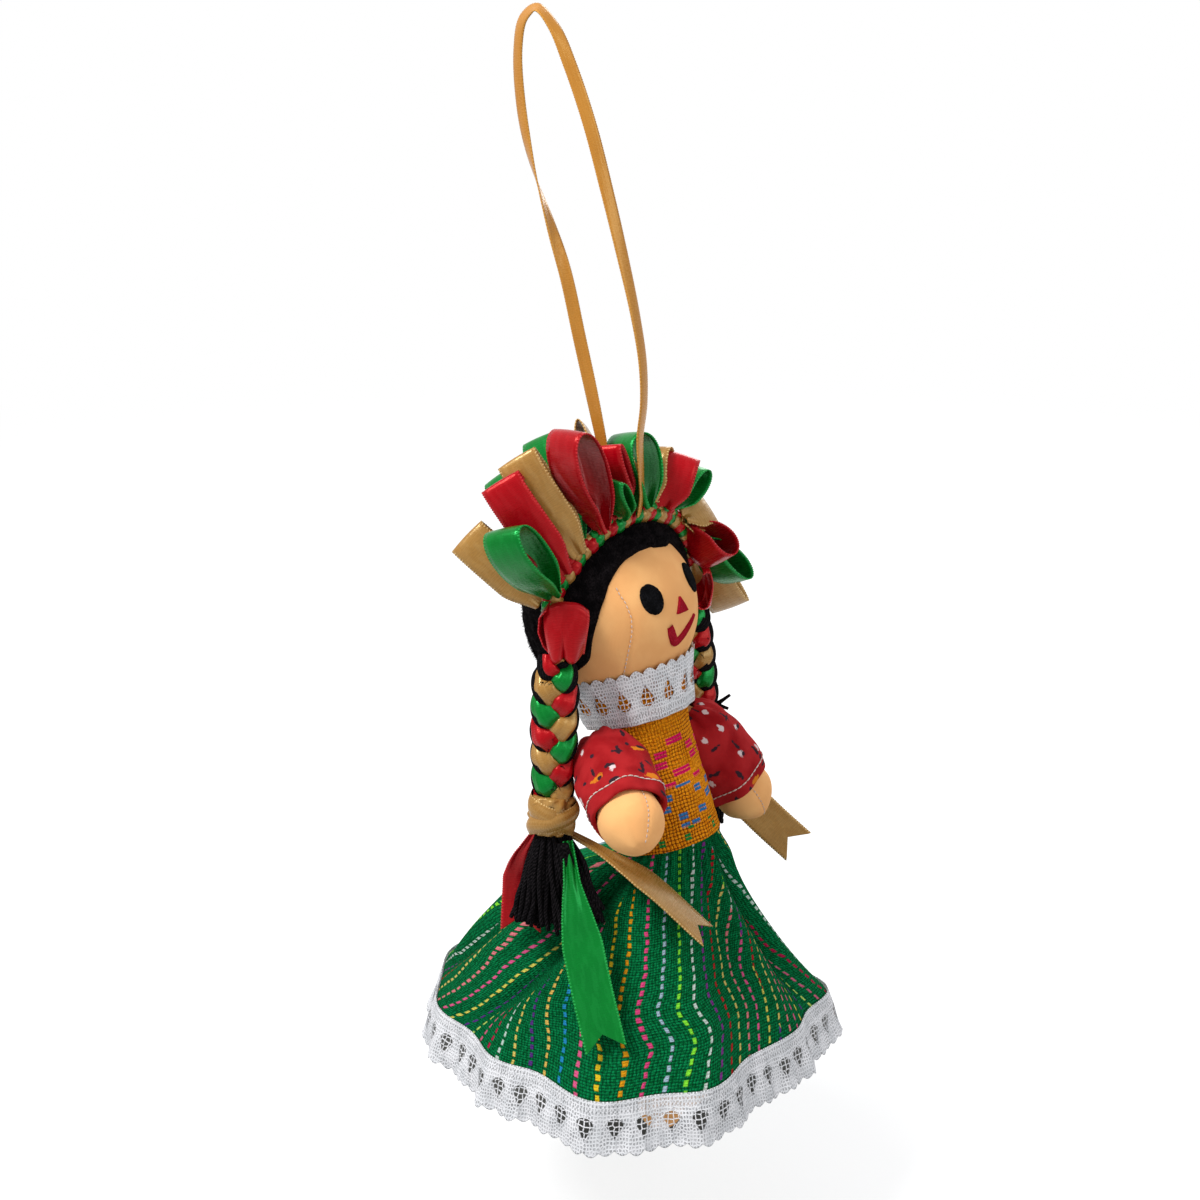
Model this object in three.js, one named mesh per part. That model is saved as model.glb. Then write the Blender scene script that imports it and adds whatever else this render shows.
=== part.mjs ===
// A stuffed cloth doll that hangs on a ribbon: long full skirt with a lace hem, puff sleeves, two braids
// tied with ribbon, and a headdress of ribbon loops sewn to a twisted cord.
// Millimetres, +Z up, +X the doll's left, -Y its front. The origin is inside the top of the hanging loop.
import * as THREE from 'three';

// Shared cloth sizes
const SEAT_GAP = 0.35;            // air between two pieces that touch
const CLOTH = 0.6;                // sewn cotton
const SATIN = 0.4;                // satin ribbon, folded and stitched
const LACE = 0.5;                 // gathered lace
const RIBBON_WIDTH = 10;          // headdress and braid ribbon
const TIP_NOTCH = 4;              // depth of the swallow tail that ends a ribbon

// Hanging ribbon: width, and the points that its middle runs through (left-right, front-back, up)
const HANGER_WIDTH = 3;
const HANGER_PLANE = -3;
const FLEX_HEIGHT = 166;          // where both strands leave the headdress and the doll swings
const FLEX_FRONT = -3.4;
const FLEX_BACK = 8.6;
const LOOP_TOP = new THREE.Vector3(HANGER_PLANE, 26.5, 265.5);
// Points of the free loop as front-back and up, from the front strand over the top to the back one
const HANGER_LINE = [[FLEX_FRONT, FLEX_HEIGHT], [-4.4, 175], [-4, 185], [-1.6, 197], [2, 210], [6.4, 224.5],
  [11.5, 240], [17, 253], [21.6, 261.6], [26.5, 265.7], [30.6, 263], [32.3, 256], [31.6, 243], [28.6, 229.5],
  [23.4, 216], [18.6, 203.5], [14.6, 188.5], [11.2, 176], [FLEX_BACK, FLEX_HEIGHT]];

// Head, in the doll's own frame with the ring of the hem at height zero
const HEAD_DIAMETER = 45;
const HEAD_CENTRE = new THREE.Vector3(0, 7.8, 119.2);
const HEAD_PITCH = 20;            // degrees that the head leans back
const HEAD_BACK_DEPTH = 0.82;     // the back of the head is flatter than the face, by this share
const NECK_HOLE_RADIUS = 4.2;
const HAIR_THICKNESS = 1.2;
const HAIR_STEP = 20;             // degrees between the rings of the hair, which clear the ball between them
// Hairline from the forehead down to the nape, as longitude and latitude on the head
const HAIRLINE = [[0, 36], [-15, 38], [-31, 33], [-42, 26], [-50, 17], [-56, 9], [-62, -1], [-68, -11],
  [-75, -22], [-88, -27], [-104, -20], [-125, -25], [-152, -30], [-180, -31]];
const EYE_WIDTH = 6;
const EYE_HEIGHT = 8;
const RIGHT_EYE = { lon: -23, lat: 4.8, lean: 10 };
const LEFT_EYE = { lon: 22.5, lat: 6.8, lean: 6 };
const NOSE_WIDTH = 4.6;
const NOSE_HEIGHT = 4.2;
const NOSE_FOOT = { lon: -0.8, lat: -10.6 };
const MOUTH_STROKE = 1.7;
const MOUTH_LINE = [[-13.6, -17], [-9, -29.5], [0, -25], [11.5, -17.5]];
const FACE_FELT = 0.5;

// Headdress
const CORD_DIAMETER = 3.4;
const FAN_TILT = 12;              // degrees that the top of the headdress comes forward
const FAN_TURN = 8;               // degrees that its left side comes forward
const FAN_FORWARD = 2;
const FAN_END = 73;               // where the cord ends at each ear, degrees from the top of the head
const ROW_OFFSET = 1.3;           // loops are sewn in a front and a back row
const LOOP_PINCH = 0.36;          // share of the ribbon's width that is left where a loop is sewn
const LOOP_BASE = 1.4;            // thickness of the pinched base
const LOOP_SWAY = 1.3;            // how far a loop's sides bulge past its open width
const BOW_WIDTH = 9;
const BOW_DROP = 12;
const BOW_STAND = 1.6;            // how far a bow stands off the hair
const RIGHT_BOW = { forward: 6.5, rise: 8.2 };
const LEFT_BOW = { forward: 10.5, rise: 6.4 };

// Ribbon loops, from the right ear over the top to the left one: where each is sewn and where it heads,
// in degrees round the fan, its lean back and twist, its reach and open width in mm, and its row
const LOOPS = [
  { colour: 'gold', seat: -71, heading: -45, lean: 44, twist: 10, reach: 25, open: 3.5, row: 1 },
  { colour: 'green', seat: -65, heading: -38, lean: 13, twist: 35, reach: 26, open: 5.5, row: -1 },
  { colour: 'red', seat: -54, heading: -29, lean: 27, twist: 36, reach: 27, open: 4, row: -1 },
  { colour: 'green', seat: -48, heading: -34, lean: 44, twist: 40, reach: 26, open: 3, row: 1 },
  { colour: 'gold', seat: -42, heading: -20, lean: 31, twist: 35, reach: 27, open: 3, row: -1 },
  { colour: 'green', seat: -37, heading: 3, lean: 46, twist: 10, reach: 27, open: 3, row: 1 },
  { colour: 'red', seat: -25, heading: -19, lean: 11, twist: 18, reach: 27, open: 4, row: -1 },
  { colour: 'gold', seat: -20, heading: 18, lean: 49, twist: -70, reach: 25, open: 2.4, row: 1 },
  { colour: 'green', seat: -11, heading: -28, lean: 4, twist: 5, reach: 14, open: 2.4, row: -1 },
  { colour: 'red', seat: -6, heading: -19, lean: 13, twist: 3, reach: 19, open: 2.4, row: 1 },
  { colour: 'green', seat: 6, heading: -2, lean: 24, twist: -5, reach: 20, open: 4.5, row: -1 },
  { colour: 'gold', seat: 15, heading: 16, lean: 38, twist: 20, reach: 13, open: 4, row: 1 },
  { colour: 'red', seat: 21, heading: 35, lean: 2, twist: 40, reach: 14, open: 4.5, row: -1 },
  { colour: 'green', seat: 31, heading: 59, lean: 12, twist: -10, reach: 16, open: 4, row: 1 },
  { colour: 'gold', seat: 39, heading: 90, lean: 6, twist: 5, reach: 13, open: 4, row: -1 },
  { colour: 'red', seat: 49, heading: 118, lean: -35, twist: 10, reach: 14, open: 2.5, row: -1 },
  { colour: 'green', seat: 60, heading: 123, lean: -14, twist: 10, reach: 20, open: 2.4, row: -1 },
  { colour: 'gold', seat: 71, heading: 134, lean: -3, twist: -10, reach: 24, open: 2.4, row: -1 },
];

// Body
const TORSO_LEAN = 17.5;          // degrees that the body leans back
const TORSO_LENGTH = 47;
const WAIST_LEVEL = 37;           // below the neck, along the body
const CHEST_HALF_WIDTH = 11.6;
const CHEST_HALF_DEPTH = 10.8;
const HIP_SHARE = 0.62;           // half width of the hips, as a share of the chest's
const HIP_RISE = 2.2;             // how far the underside of the body rises from its middle to the hips
const NECK_RADIUS = 5.2;
const BODICE_TOP = 6;
const COLLAR_RADIUS = 13.8;
const COLLAR_STAND = 2.4;

// Arms
const ARM_LENGTH = 27;            // shoulder to the middle of the hand
const HAND_RADIUS = 7.8;
const SLEEVE_LENGTH = 23;
const SLEEVE_RADIUS = 9.6;
// Each shoulder: out from the middle and below the neck, in mm, and the arm's turn forward and down, in
// degrees
const RIGHT_ARM = { reach: 17.4, drop: 9, forward: 51, down: 20 };
const LEFT_ARM = { reach: 19.2, drop: 13, forward: 50, down: 55 };

// Skirt, lace and legs
const SKIRT_CLOTH = 0.8;
const HEM_RADIUS = 51;
const HEM_HEIGHT = 13.5;
const HEM_SHIFTS = [-5, 0, 6, -1, -1, 1, 0, -1, 0, -4, -7, -1];    // hem out or in, every 30 degrees
const HOLLOW_SIDE = 60;           // degrees to the doll's left of its front where the skirt hangs in most
const SKIRT_TUCK = 2;             // how far the skirt goes up under the bodice, past the waist
const FOLDS = 11;
const FOLD_DEPTH = 1.6;
const LACE_DROP = 13.5;
const LACE_FLARE = 4;
const LEG_HALF_SPAN = 6.3;
const LEG_LENGTH = 76;
const LEG_RADIUS = 5.6;
const FOOT_RADIUS = 6.2;

// Braids
const BRAID_RADIUS = 5.3;
const BRAID_LENGTH = 34.5;
const TIE_RADIUS = 6.2;
const TIE_LENGTH = RIBBON_WIDTH;
const TASSEL_LENGTH = 25;
const TASSEL_HALF_WIDTH = 11;
const TASSEL_HALF_DEPTH = 4.2;
// Each braid: its top, its lean outward in degrees, how its tassel hangs, and its ribbon tails. The tails
// are points from the foot of the tie, outward, back and up, with the direction of their width.
const RIGHT_BRAID = {
  top: [-28.6, 3.6, 115],
  lean: 3,
  forward: 10,
  outward: 7,
  facing: 75,
  tails: [
    { colour: 'gold', line: [[-3.5, -3.3, -0.6], [-7, -12, -5], [-10.5, -22.5, -11.5], [-16.5, -36, -24]],
      across: [0.95, 0, -0.3] },
    { colour: 'green', line: [[0.5, -5.3, -0.4], [6, -10, -12], [12, -16, -28], [16.4, -23, -45]],
      across: [-0.6, -0.8, 0] },
    { colour: 'red', line: [[1.4, 4.2, -0.4], [3, 8, -8], [3.5, 9, -18], [4, 9, -29]], across: [0.8, -0.3, 0.2] },
  ],
};
const LEFT_BRAID = {
  top: [28.4, 2.2, 112.6],
  lean: 12,
  forward: 0,
  outward: 4,
  facing: 30,
  tails: [
    { colour: 'gold', line: [[-1.4, -4, -0.8], [1.5, -10, -10], [4, -16.5, -17], [7, -26, -25]],
      across: [0.6, -0.47, 0.63] },
    { colour: 'red', line: [[4.1, 0.8, -0.3], [9.5, 1, -1], [13, 0.5, -7], [14.5, 0, -16]], across: [0, 1, 0] },
    { colour: 'green', line: [[1.2, 4.1, -0.3], [4, 9, -10], [8, 12, -24], [12, 15, -38]],
      across: [0.8, -0.5, 0] },
  ],
};

const rad = THREE.MathUtils.degToRad;
const vec = (x, y, z) => new THREE.Vector3(x, y, z);
const lerp = THREE.MathUtils.lerp;

const COLOURS = {
  ochre: 0xb9781f, skin: 0xf0b27f, filling: 0xf2efe6, hair: 0x151314, red: 0xb5121b, green: 0x0f8a2c,
  gold: 0xb3935a, white: 0xf4f2f0, mustard: 0xd98f14, cotton: 0xb8232f, skirt: 0x0c6b47, black: 0x111111,
};

const doll = new THREE.Group();
doll.position.copy(LOOP_TOP).negate();

function piece(name, geometry, colour, roughness, parent = doll) {
  const material = new THREE.MeshStandardMaterial({ color: COLOURS[colour], roughness, metalness: 0 });
  const mesh = new THREE.Mesh(geometry, material);
  mesh.name = name;
  parent.add(mesh);
  return mesh;
}

// A closed body from a row of rings with equal point counts. A ring of one point is a pole, and open ends
// are closed by a fan round their middle. With closed set, the last ring joins the first.
function loft(rings, closed = false, lastMiddle = null) {
  const points = [];
  const starts = rings.map((ring) => points.push(...ring) - ring.length);
  const faces = [];
  const joinRings = (a, b) => {
    const countA = rings[a].length;
    const countB = rings[b].length;
    const count = Math.max(countA, countB);
    for (let i = 0; i < count; i += 1) {
      const next = (i + 1) % count;
      const a0 = starts[a] + (countA === 1 ? 0 : i);
      const a1 = starts[a] + (countA === 1 ? 0 : next);
      const b0 = starts[b] + (countB === 1 ? 0 : i);
      const b1 = starts[b] + (countB === 1 ? 0 : next);
      if (countB > 1) faces.push([a0, b0, b1]);
      if (countA > 1) faces.push([a0, b1, a1]);
    }
  };
  for (let k = 0; k + 1 < rings.length; k += 1) joinRings(k, k + 1);
  if (closed) {
    joinRings(rings.length - 1, 0);
  } else {
    [[0, 1], [rings.length - 1, -1]].forEach(([k, side]) => {
      const ring = rings[k];
      if (ring.length === 1) return;
      const mean = ring.reduce((sum, p) => sum.add(p), vec(0, 0, 0)).divideScalar(ring.length);
      const middle = points.push(side < 0 && lastMiddle ? lastMiddle : mean) - 1;
      ring.forEach((point, i) => {
        const here = starts[k] + i;
        const next = starts[k] + ((i + 1) % ring.length);
        faces.push(side > 0 ? [middle, here, next] : [middle, next, here]);
      });
    });
  }
  const volume = faces.reduce((sum, [a, b, c]) => (
    sum + points[a].dot(points[b].clone().cross(points[c]))), 0);
  const index = faces.flatMap(([a, b, c]) => (volume < 0 ? [a, c, b] : [a, b, c]));
  const geometry = new THREE.BufferGeometry();
  geometry.setAttribute('position', new THREE.Float32BufferAttribute(points.flatMap((p) => p.toArray()), 3));
  geometry.setIndex(index);
  geometry.computeVertexNormals();
  return geometry;
}

// Level ring of an ellipse, as wide as x and as deep as y
function ellipseRing(segments, halfX, halfY, z, y0 = 0) {
  return Array.from({ length: segments }, (_, i) => {
    const angle = (2 * Math.PI * i) / segments;
    return vec(halfX * Math.sin(angle), y0 - halfY * Math.cos(angle), z);
  });
}

const circleRing = (segments, radius, z) => ellipseRing(segments, radius, radius, z);

// Body of rings from a profile of [height, half width, half depth]; a zero width is a pole
const profileRings = (segments, profile, grow = 0) => profile.map(([z, halfX, halfY]) => (
  halfX === 0 ? [vec(0, 0, z)] : ellipseRing(segments, halfX + grow, halfY + grow, z)));

// A strip of ribbon along points, each with its own width direction. A notch cuts its last end to a
// swallow tail.
function ribbon(points, widthDirections, widths, thickness = SATIN, notch = 0) {
  const last = points.length - 1;
  const rings = points.map((point, i) => {
    const along = points[Math.min(i + 1, last)].clone().sub(points[Math.max(i - 1, 0)]).normalize();
    const across = widthDirections[i].clone();
    across.sub(along.clone().multiplyScalar(across.dot(along))).normalize();
    const normal = along.clone().cross(across).multiplyScalar(thickness / 2);
    across.multiplyScalar(widths[i] / 2);
    const middle = point.clone().sub(along.multiplyScalar(i === last ? notch : 0));
    const edges = [
      [point.clone().add(across).add(normal), point.clone().sub(across).add(normal)],
      [point.clone().sub(across).sub(normal), point.clone().add(across).sub(normal)],
    ];
    if (notch === 0) return edges.flat();
    const middles = [middle.clone().add(normal), middle.clone().sub(normal)];
    return edges.flatMap(([from, to], k) => [from, middles[k], to]);
  });
  if (notch === 0) return loft(rings);
  return loft(rings, false, rings[last][1].clone().lerp(rings[last][4], 0.5));
}

// Points on a smooth line through chosen ones
function smoothLine(points, steps) {
  return new THREE.CatmullRomCurve3(points, false, 'centripetal').getPoints(steps);
}

// Head: everything on it is placed by longitude and latitude on the ball
const headRadius = HEAD_DIAMETER / 2;
const head = new THREE.Group();
head.position.copy(HEAD_CENTRE);
head.rotation.x = -rad(HEAD_PITCH);
doll.add(head);

function onHead(longitude, latitude, radius) {
  const lon = rad(longitude);
  const lat = rad(latitude);
  const level = radius * Math.cos(lat);
  return vec(level * Math.sin(lon), -level * Math.cos(lon), radius * Math.sin(lat));
}

function ballRings(radius, segments, latitudes) {
  return latitudes.map((lat) => (
    Math.abs(lat) === 90
      ? [vec(0, 0, Math.sign(lat) * radius)]
      : circleRing(segments, radius * Math.cos(rad(lat)), radius * Math.sin(rad(lat)))));
}

const neckHoleLatitude = -THREE.MathUtils.radToDeg(Math.acos(NECK_HOLE_RADIUS / headRadius));
const outerLatitudes = [90, 74, 58, 42, 27, 13, 0, -13, -27, -42, -57, -69, neckHoleLatitude];
const innerLatitudes = [neckHoleLatitude, -60, -38, -13, 13, 38, 64, 90];
function flattenBack(geometry) {
  const position = geometry.getAttribute('position');
  for (let i = 0; i < position.count; i += 1) {
    if (position.getY(i) > 0) position.setY(i, position.getY(i) * HEAD_BACK_DEPTH);
  }
  geometry.computeVertexNormals();
  return geometry;
}
piece('head_skin', flattenBack(loft([
  ...ballRings(headRadius, 28, outerLatitudes),
  ...ballRings(headRadius - CLOTH, 28, innerLatitudes),
])), 'skin', 0.8, head);
piece('head_stuffing', flattenBack(loft(
  ballRings(headRadius - CLOTH - SEAT_GAP, 14, innerLatitudes),
)), 'filling', 0.95, head);

// A thin patch that lies on the head, from a pole out to a rim given by direction, in rings
function headPatch(poleDirection, rimDirections, shares, innerRadius, outerRadius) {
  const pole = poleDirection.clone().normalize();
  const ringAt = (share, radius) => rimDirections.map((rim) => {
    const turn = new THREE.Quaternion().setFromUnitVectors(pole, rim.clone().normalize());
    const part = new THREE.Quaternion().slerp(turn, share);
    return pole.clone().applyQuaternion(part).multiplyScalar(radius);
  });
  return loft([
    [pole.clone().multiplyScalar(outerRadius)],
    ...shares.map((share) => ringAt(share, outerRadius)),
    ...shares.toReversed().map((share) => ringAt(share, innerRadius)),
    [pole.clone().multiplyScalar(innerRadius)],
  ]);
}

// Hair: a fleece cap from the hairline over the back of the head to the nape, alike on both sides
const skinFace = headRadius + SEAT_GAP;
const hairFace = headRadius / Math.cos(rad(HAIR_STEP / 2)) + SEAT_GAP;
const hairRadius = hairFace + HAIR_THICKNESS;
const hairPole = onHead(180, 20, 1);
const hairSide = new THREE.CatmullRomCurve3(HAIRLINE.map(([lon, lat]) => onHead(lon, lat, 1))).getPoints(17);
const hairRim = [...hairSide, ...hairSide.slice(1, -1).toReversed().map((p) => vec(-p.x, p.y, p.z))];
const hairShares = [0.17, 0.33, 0.48, 0.62, 0.75, 0.88, 1];
const hair = headPatch(hairPole, hairRim, hairShares, hairFace, hairRadius);
piece('hair_cap', flattenBack(hair), 'hair', 1, head);

// Face: felt pieces glued on
const feltTop = skinFace + FACE_FELT;
function eyePatch({ lon, lat, lean }) {
  const centre = onHead(lon, lat, 1);
  const east = vec(0, 0, 1).cross(centre).normalize();
  const north = centre.clone().cross(east);
  const rim = Array.from({ length: 16 }, (_, i) => {
    const angle = (2 * Math.PI * i) / 16;
    const x = (EYE_WIDTH / 2) * Math.cos(angle) / headRadius;
    const y = (EYE_HEIGHT / 2) * Math.sin(angle) / headRadius;
    const turn = rad(lean);
    return centre.clone()
      .add(east.clone().multiplyScalar(x * Math.cos(turn) - y * Math.sin(turn)))
      .add(north.clone().multiplyScalar(x * Math.sin(turn) + y * Math.cos(turn)));
  });
  return headPatch(centre, rim, [0.5, 1], skinFace, feltTop);
}
piece('eye_right', eyePatch(RIGHT_EYE), 'black', 0.9, head);
piece('eye_left', eyePatch(LEFT_EYE), 'black', 0.9, head);

const degreesPerMm = 360 / (Math.PI * HEAD_DIAMETER);
const noseHalf = (NOSE_WIDTH / 2) * degreesPerMm;
const noseRise = NOSE_HEIGHT * degreesPerMm;
const noseCorners = [[0, noseRise], [noseHalf, 0], [-noseHalf, 0]].map(([lon, lat]) => (
  onHead(NOSE_FOOT.lon + lon, NOSE_FOOT.lat + lat, 1)));
const noseRim = noseCorners.flatMap((corner, i) => {
  const next = noseCorners[(i + 1) % 3];
  return [0, 0.34, 0.67].map((share) => corner.clone().lerp(next, share));
});
const nosePole = onHead(NOSE_FOOT.lon, NOSE_FOOT.lat + noseRise / 3, 1);
piece('nose', headPatch(nosePole, noseRim, [1], skinFace, feltTop), 'red', 0.9, head);

const mouthPath = MOUTH_LINE.flatMap(([lon, lat], i) => {
  if (i === MOUTH_LINE.length - 1) return [[lon, lat]];
  const [nextLon, nextLat] = MOUTH_LINE[i + 1];
  return [0, 0.5].map((share) => [lerp(lon, nextLon, share), lerp(lat, nextLat, share)]);
}).map(([lon, lat]) => onHead(lon, lat, (skinFace + feltTop) / 2));
const mouthAcross = mouthPath.map((point, i) => {
  const along = mouthPath[Math.min(i + 1, mouthPath.length - 1)].clone().sub(mouthPath[Math.max(i - 1, 0)]);
  return along.cross(point);
});
piece('mouth', ribbon(mouthPath, mouthAcross, mouthPath.map(() => MOUTH_STROKE), FACE_FELT), 'red', 0.9, head);

// Headdress: its plane stands across the head through the ears
const fan = new THREE.Group();
fan.position.copy(HEAD_CENTRE).y -= FAN_FORWARD;
fan.rotation.set(rad(FAN_TILT), 0, -rad(FAN_TURN), 'ZYX');
doll.add(fan);
const cordRadius = hairRadius + SEAT_GAP + CORD_DIAMETER / 2;
const loopSeat = cordRadius + CORD_DIAMETER / 2 + SEAT_GAP * 2;
function onFan(angle, radius, out = 0) {
  return vec(radius * Math.sin(rad(angle)), out, radius * Math.cos(rad(angle)));
}

const cordRings = Array.from({ length: 37 }, (_, i) => {
  const angle = lerp(-FAN_END, FAN_END, i / 36);
  return Array.from({ length: 8 }, (__, k) => {
    const turn = (2 * Math.PI * k) / 8;
    const half = CORD_DIAMETER / 2;
    return onFan(angle, cordRadius + half * Math.cos(turn), half * Math.sin(turn));
  });
});
piece('headband_cord', loft(cordRings), 'red', 0.6, fan);

function loopStrip({ seat, heading, lean, twist, reach, open, row }) {
  const start = onFan(seat, loopSeat, row * ROW_OFFSET);
  const flat = onFan(heading, 1);
  const out = flat.clone().multiplyScalar(Math.cos(rad(lean))).add(vec(0, Math.sin(rad(lean)), 0));
  const side = onFan(heading + 90, 1).applyAxisAngle(out, rad(twist));
  const width = out.clone().cross(side);
  const steps = 14;
  const stations = Array.from({ length: steps + 1 }, (_, i) => i / steps);
  const points = stations.map((s) => {
    const rise = reach * (1 - Math.cos(2 * Math.PI * s)) / 2;
    const sway = (open / 2) * LOOP_SWAY * Math.sin(2 * Math.PI * s) * Math.sin(Math.PI * s)
      + (LOOP_BASE - SATIN) / 2 * Math.cos(Math.PI * s);
    return start.clone().add(out.clone().multiplyScalar(rise)).add(side.clone().multiplyScalar(sway));
  });
  const widths = stations.map((s) => {
    const away = Math.min(1, (1 - Math.cos(2 * Math.PI * s)) * 1.6);
    return RIBBON_WIDTH * lerp(LOOP_PINCH, 1, away);
  });
  return ribbon(points, points.map(() => width), widths);
}
LOOPS.forEach((loop, i) => {
  const name = `headdress_loop_${String(i + 1).padStart(2, '0')}_${loop.colour}`;
  piece(name, loopStrip(loop), loop.colour, 0.35, fan);
});

// Ear bows: a folded ribbon that hangs over the top of each braid
function bow(sideSign, { forward, rise }) {
  const seat = HEAD_CENTRE.clone().add(vec(sideSign * (hairRadius + BOW_STAND), -forward, rise));
  const drop = [[0, 0], [2.2, -1.2], [3.6, -4], [3.8, -BOW_DROP + 2.5], [2.4, -BOW_DROP],
    [0.6, -BOW_DROP + 1.6], [0.4, -4.5]];
  const line = smoothLine(drop.map(([out, z]) => seat.clone().add(vec(sideSign * out, 0, z))), 16);
  return ribbon(line, line.map(() => vec(0, 1, 0)), line.map(() => BOW_WIDTH));
}
piece('ear_bow_right', bow(-1, RIGHT_BOW), 'red', 0.35);
piece('ear_bow_left', bow(1, LEFT_BOW), 'red', 0.35);

// Hanging ribbon: the free loop, and the two ends that are sewn to the headband
const hangerPoints = smoothLine(HANGER_LINE.map(([y, z]) => vec(HANGER_PLANE, y, z)), 56);
const hangerAcross = hangerPoints.map((point) => {
  const turned = THREE.MathUtils.smoothstep(point.z, FLEX_HEIGHT + 8, LOOP_TOP.z - 12);
  const angle = rad(90 * (1 - turned));
  const back = point.y > LOOP_TOP.y ? -1 : 1;
  return vec(Math.cos(angle), -back * Math.sin(angle), 0);
});
const hangerWidths = hangerPoints.map(() => HANGER_WIDTH);
piece('hanger_ribbon', ribbon(hangerPoints, hangerAcross, hangerWidths), 'ochre', 0.35);

const END_STEPS = 26;
const sewnPoint = fan.localToWorld(onFan(-1, cordRadius)).sub(doll.position);
const sewnGap = CORD_DIAMETER / 2 + SEAT_GAP + SATIN;
const endFront = smoothLine([
  vec(HANGER_PLANE, FLEX_FRONT, FLEX_HEIGHT - SEAT_GAP),
  vec(-2.8, -3.6, 158),
  vec(-1.5, -3, 151),
  sewnPoint.clone().add(vec(0, -sewnGap, 0.8)),
], END_STEPS);
const endBack = smoothLine([
  vec(HANGER_PLANE, FLEX_BACK, FLEX_HEIGHT - SEAT_GAP),
  vec(-2.4, 7, 158),
  vec(-1.4, 4.6, 151),
  sewnPoint.clone().add(vec(0, sewnGap, 0.8)),
], END_STEPS);
const endAcross = endFront.map((_, i) => {
  const angle = rad(90 * THREE.MathUtils.smoothstep(i, END_STEPS * 0.2, END_STEPS));
  return vec(Math.sin(angle), Math.cos(angle), 0);
});
const endWidths = endFront.map(() => HANGER_WIDTH);
piece('hanger_end_front', ribbon(endFront, endAcross, endWidths), 'ochre', 0.35);
piece('hanger_end_back', ribbon(endBack, endAcross, endWidths), 'ochre', 0.35);

// Body: hangs from the neck, which meets the lowest point of the head
const headDown = vec(0, 0, -1).applyEuler(head.rotation);
const neck = HEAD_CENTRE.clone().add(headDown.multiplyScalar(headRadius + SEAT_GAP));
const torso = new THREE.Group();
torso.position.copy(neck);
torso.rotation.x = -rad(TORSO_LEAN);
doll.add(torso);

const torsoProfile = [
  [-SEAT_GAP, NECK_RADIUS, NECK_RADIUS],
  [-3.6, NECK_RADIUS, NECK_RADIUS],
  [-7, CHEST_HALF_WIDTH * 0.78, CHEST_HALF_DEPTH * 0.76],
  [-11, CHEST_HALF_WIDTH * 0.93, CHEST_HALF_DEPTH * 0.92],
  [-17, CHEST_HALF_WIDTH, CHEST_HALF_DEPTH],
  [-26, CHEST_HALF_WIDTH * 0.98, CHEST_HALF_DEPTH],
  [-WAIST_LEVEL, CHEST_HALF_WIDTH * 0.94, CHEST_HALF_DEPTH * 0.96],
  [-41.5, CHEST_HALF_WIDTH * 0.85, CHEST_HALF_DEPTH * 0.85],
  [-TORSO_LENGTH + HIP_RISE, CHEST_HALF_WIDTH * HIP_SHARE, CHEST_HALF_DEPTH * HIP_SHARE],
  [-TORSO_LENGTH, 0, 0],
];
const shrink = (profile, by) => profile.map(([z, x, y]) => (x === 0 ? [z + by, 0, 0] : [z, x - by, y - by]));
piece('torso_skin', loft([
  ...profileRings(18, torsoProfile),
  ...profileRings(18, shrink(torsoProfile.slice(1), CLOTH)).toReversed(),
  circleRing(18, NECK_RADIUS - CLOTH, -SEAT_GAP),
], true), 'skin', 0.85, torso);
const fillingProfile = shrink(torsoProfile.slice(2), CLOTH + SEAT_GAP);
piece('torso_stuffing', loft([
  [vec(0, 0, -1.4)],
  circleRing(14, NECK_RADIUS - CLOTH - SEAT_GAP, -3.8),
  ...profileRings(14, fillingProfile),
]), 'filling', 0.95, torso);

// Bodice: one woven tube over the body, from the neck to over the top of the skirt
const bodiceInner = SEAT_GAP + SKIRT_CLOTH + SEAT_GAP;
const bodiceProfile = [
  [-BODICE_TOP, CHEST_HALF_WIDTH * 0.72, CHEST_HALF_DEPTH * 0.7],
  ...torsoProfile.slice(3, 6),
  [-WAIST_LEVEL - 1, CHEST_HALF_WIDTH * 0.97, CHEST_HALF_DEPTH * 0.99],
];
const bodiceFits = bodiceProfile.map(([z, x, y], i) => {
  const ease = i < 3 ? SEAT_GAP : bodiceInner;
  return [z, x + ease, y + ease];
});
piece('bodice', loft([
  ...profileRings(24, bodiceFits, CLOTH),
  ...profileRings(24, bodiceFits).toReversed(),
], true), 'mustard', 0.95, torso);

// Lace collar: a ruffle that stands round the neck and falls over the shoulders
const collarRing = (share, radius, z, drop) => Array.from({ length: 36 }, (_, i) => {
  const angle = (2 * Math.PI * i) / 36;
  const wave = share * 0.5 * Math.cos(12 * angle);
  const fall = drop * Math.abs(Math.cos(angle)) ** 1.5;
  return vec((radius + wave) * Math.sin(angle), -(radius + wave) * Math.cos(angle), z - fall);
});
const collarSeam = NECK_RADIUS + SEAT_GAP;
const collarWall = [
  [0, collarSeam, -2.6, 0],
  [0, collarSeam + 3.6, COLLAR_STAND - 1, 0],
  [0.6, COLLAR_RADIUS - 2.6, COLLAR_STAND - 0.6, 0.6],
  [1, COLLAR_RADIUS, -3.4, 5.6],
];
piece('lace_collar', loft([
  ...collarWall.map(([share, radius, z, drop]) => collarRing(share, radius, z - LACE, drop)),
  ...collarWall.toReversed().map(([share, radius, z, drop]) => (
    collarRing(share, radius + LACE * 0.7, z, drop))),
], true), 'white', 0.95, torso);

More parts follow.
